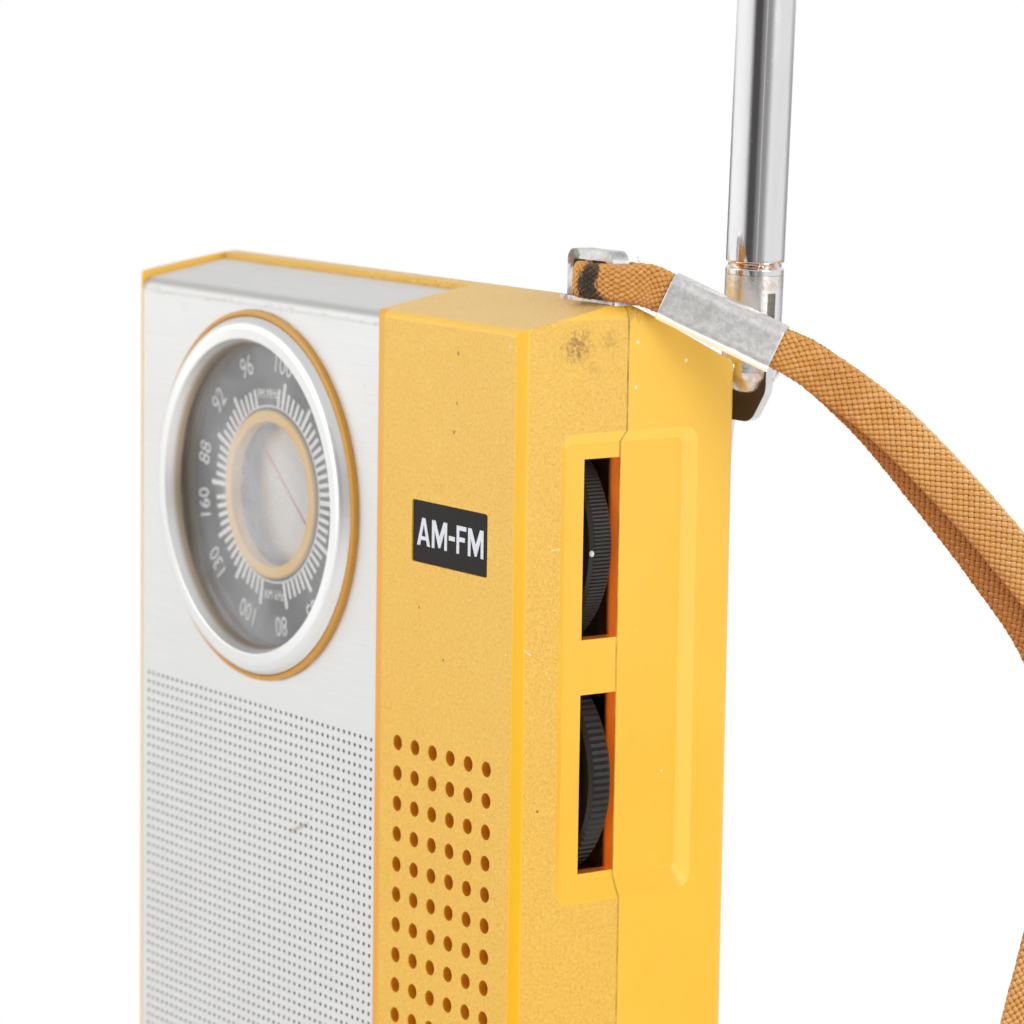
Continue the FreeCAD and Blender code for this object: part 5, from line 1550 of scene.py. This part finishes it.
def floor():
    """Round disc just under z = 0."""
    sides, rings, radius = 96, 12, 620
    points, faces = [(0.0, 0.0)], []
    for ring in range(1, rings + 1):
        for q in range(sides):
            angle = 2 * math.pi * q / sides
            reach = ring / rings * radius
            points.append((reach * math.cos(angle), reach * math.sin(angle)))
    for q in range(sides):
        faces.append((0, 1 + q, 1 + (q + 1) % sides))
    for ring in range(rings - 1):
        for q in range(sides):
            a, b = 1 + ring * sides + q, 1 + ring * sides + (q + 1) % sides
            faces.append((a, a + sides, b + sides, b))
    mesh = bpy.data.meshes.new("studio_floor")
    mesh.from_pydata([(x * MM, y * MM, -0.00005) for x, y in points], [], faces)
    mesh.update()
    mesh.materials.append(floor_material())
    link_object("studio_floor", mesh)


def world():
    """Bright tent all round with a dark gap on the camera's side, seen only in gloss."""
    studio = bpy.data.worlds.new("studio")
    bpy.context.scene.world = studio
    sky = Shader(studio, "ShaderNodeOutputWorld")
    direction = sky.node("ShaderNodeTexCoord", output="Generated")
    x, y, z = direction.split()
    # level heading of the gap's middle, and the cosine of the angle from it
    gap_x, gap_y = math.sin(math.radians(44)), -math.cos(math.radians(44))
    level = (x * x + (y * y + 1e-6)).sqrt()
    toward = (x * gap_x + y * gap_y) / level
    gap = (toward.ramp(zero=0.62, one=0.92) * z.ramp(zero=0.42, one=0.20)
           * z.ramp(zero=-0.75, one=-0.45))
    tent = z.ramp(zero=0.18, one=0.70, low=0.88, high=0.76)
    # a broad reflector on the left lights the metal front
    reflector = direction.dot((-0.77, -0.54, -0.33)).ramp(zero=0.60, one=0.96)
    tent = tent + reflector * 0.20
    # dark patch at the back below the horizon draws the sides of the round chrome pieces
    back = toward.ramp(zero=-0.50, one=-0.93) * z.ramp(zero=0.0, one=-0.05)
    gap = gap.max(back * 0.85)
    # a narrow bright seam in the dark band, slight unevenness all round
    side = x * gap_y - y * gap_x
    seam = abs(side + 0.22).ramp(zero=0.045, one=0.01) * toward.ramp(zero=0.5, one=0.7)
    gap = gap * side.ramp(zero=-0.20, one=0.26, low=0.66)
    gap = gap * (1.0 - seam * 0.55)
    gap = gap + sky.noise(at=direction, scale=2.2) * 0.10
    seen = sky.node("ShaderNodeLightPath", output="Is Camera Ray")
    gap = gap * seen.sibling("Is Glossy Ray")
    colour = gap.blend(sky.combine(tent, tent, tent), (0.085, 0.078, 0.078))
    colour = seen.blend(colour, (1.0, 1.0, 1.0))
    sky.close(sky.node("ShaderNodeBackground", {"Color": colour, "Strength": 1.0}))


def area_light(name, location, target, size, power):
    """Square light; places and size in metres, power in watts."""
    light = bpy.data.lights.new(name, "AREA")
    light.energy = power
    light.shape = "RECTANGLE"
    light.size = size
    light.size_y = size
    lamp = link_object(name, light)
    lamp.location = location
    direction = Vector(target) - Vector(location)
    lamp.rotation_euler = direction.to_track_quat("-Z", "Y").to_euler()


def camera():
    """Long lens from the front right, slightly above; places in metres."""
    azimuth, elevation, roll = (math.radians(angle) for angle in
                                (54.75519, 7.96973, 0.844896))
    back = np.array((math.sin(azimuth) * math.cos(elevation),
                     -math.cos(azimuth) * math.cos(elevation), math.sin(elevation)))
    right = np.array((math.cos(azimuth), math.sin(azimuth), 0.0))
    upward = np.cross(back, right)
    axes = np.column_stack((right * math.cos(roll) + upward * math.sin(roll),
                            upward * math.cos(roll) - right * math.sin(roll), back))
    pose = Matrix(axes.tolist()).to_4x4()
    pose.translation = (0.387936, -0.259594, 0.165408)
    lens = bpy.data.cameras.new("camera")
    lens.sensor_fit = "HORIZONTAL"
    lens.sensor_width = 36.0
    lens.lens = 140.784504
    lens.clip_start = 0.01
    lens.clip_end = 20.0
    viewer = link_object("camera", lens)
    viewer.matrix_world = pose
    bpy.context.scene.camera = viewer
    focus = link_object("focus", None)
    focus.location = (0.042, -0.010, 0.100)
    lens.dof.use_dof = True
    lens.dof.focus_object = focus
    lens.dof.aperture_fstop = 42.0


floor()
world()
area_light("key_front_left", location=(-0.55, -1.05, 0.55), target=(0, 0, 0.08), size=0.7,
           power=4.0)
area_light("key_right", location=(1.10, 0.20, 0.42), target=(0, 0, 0.09), size=0.6, power=4.1)
camera()
bpy.context.scene.view_settings.view_transform = "Standard"
bpy.context.scene.view_settings.look = "None"
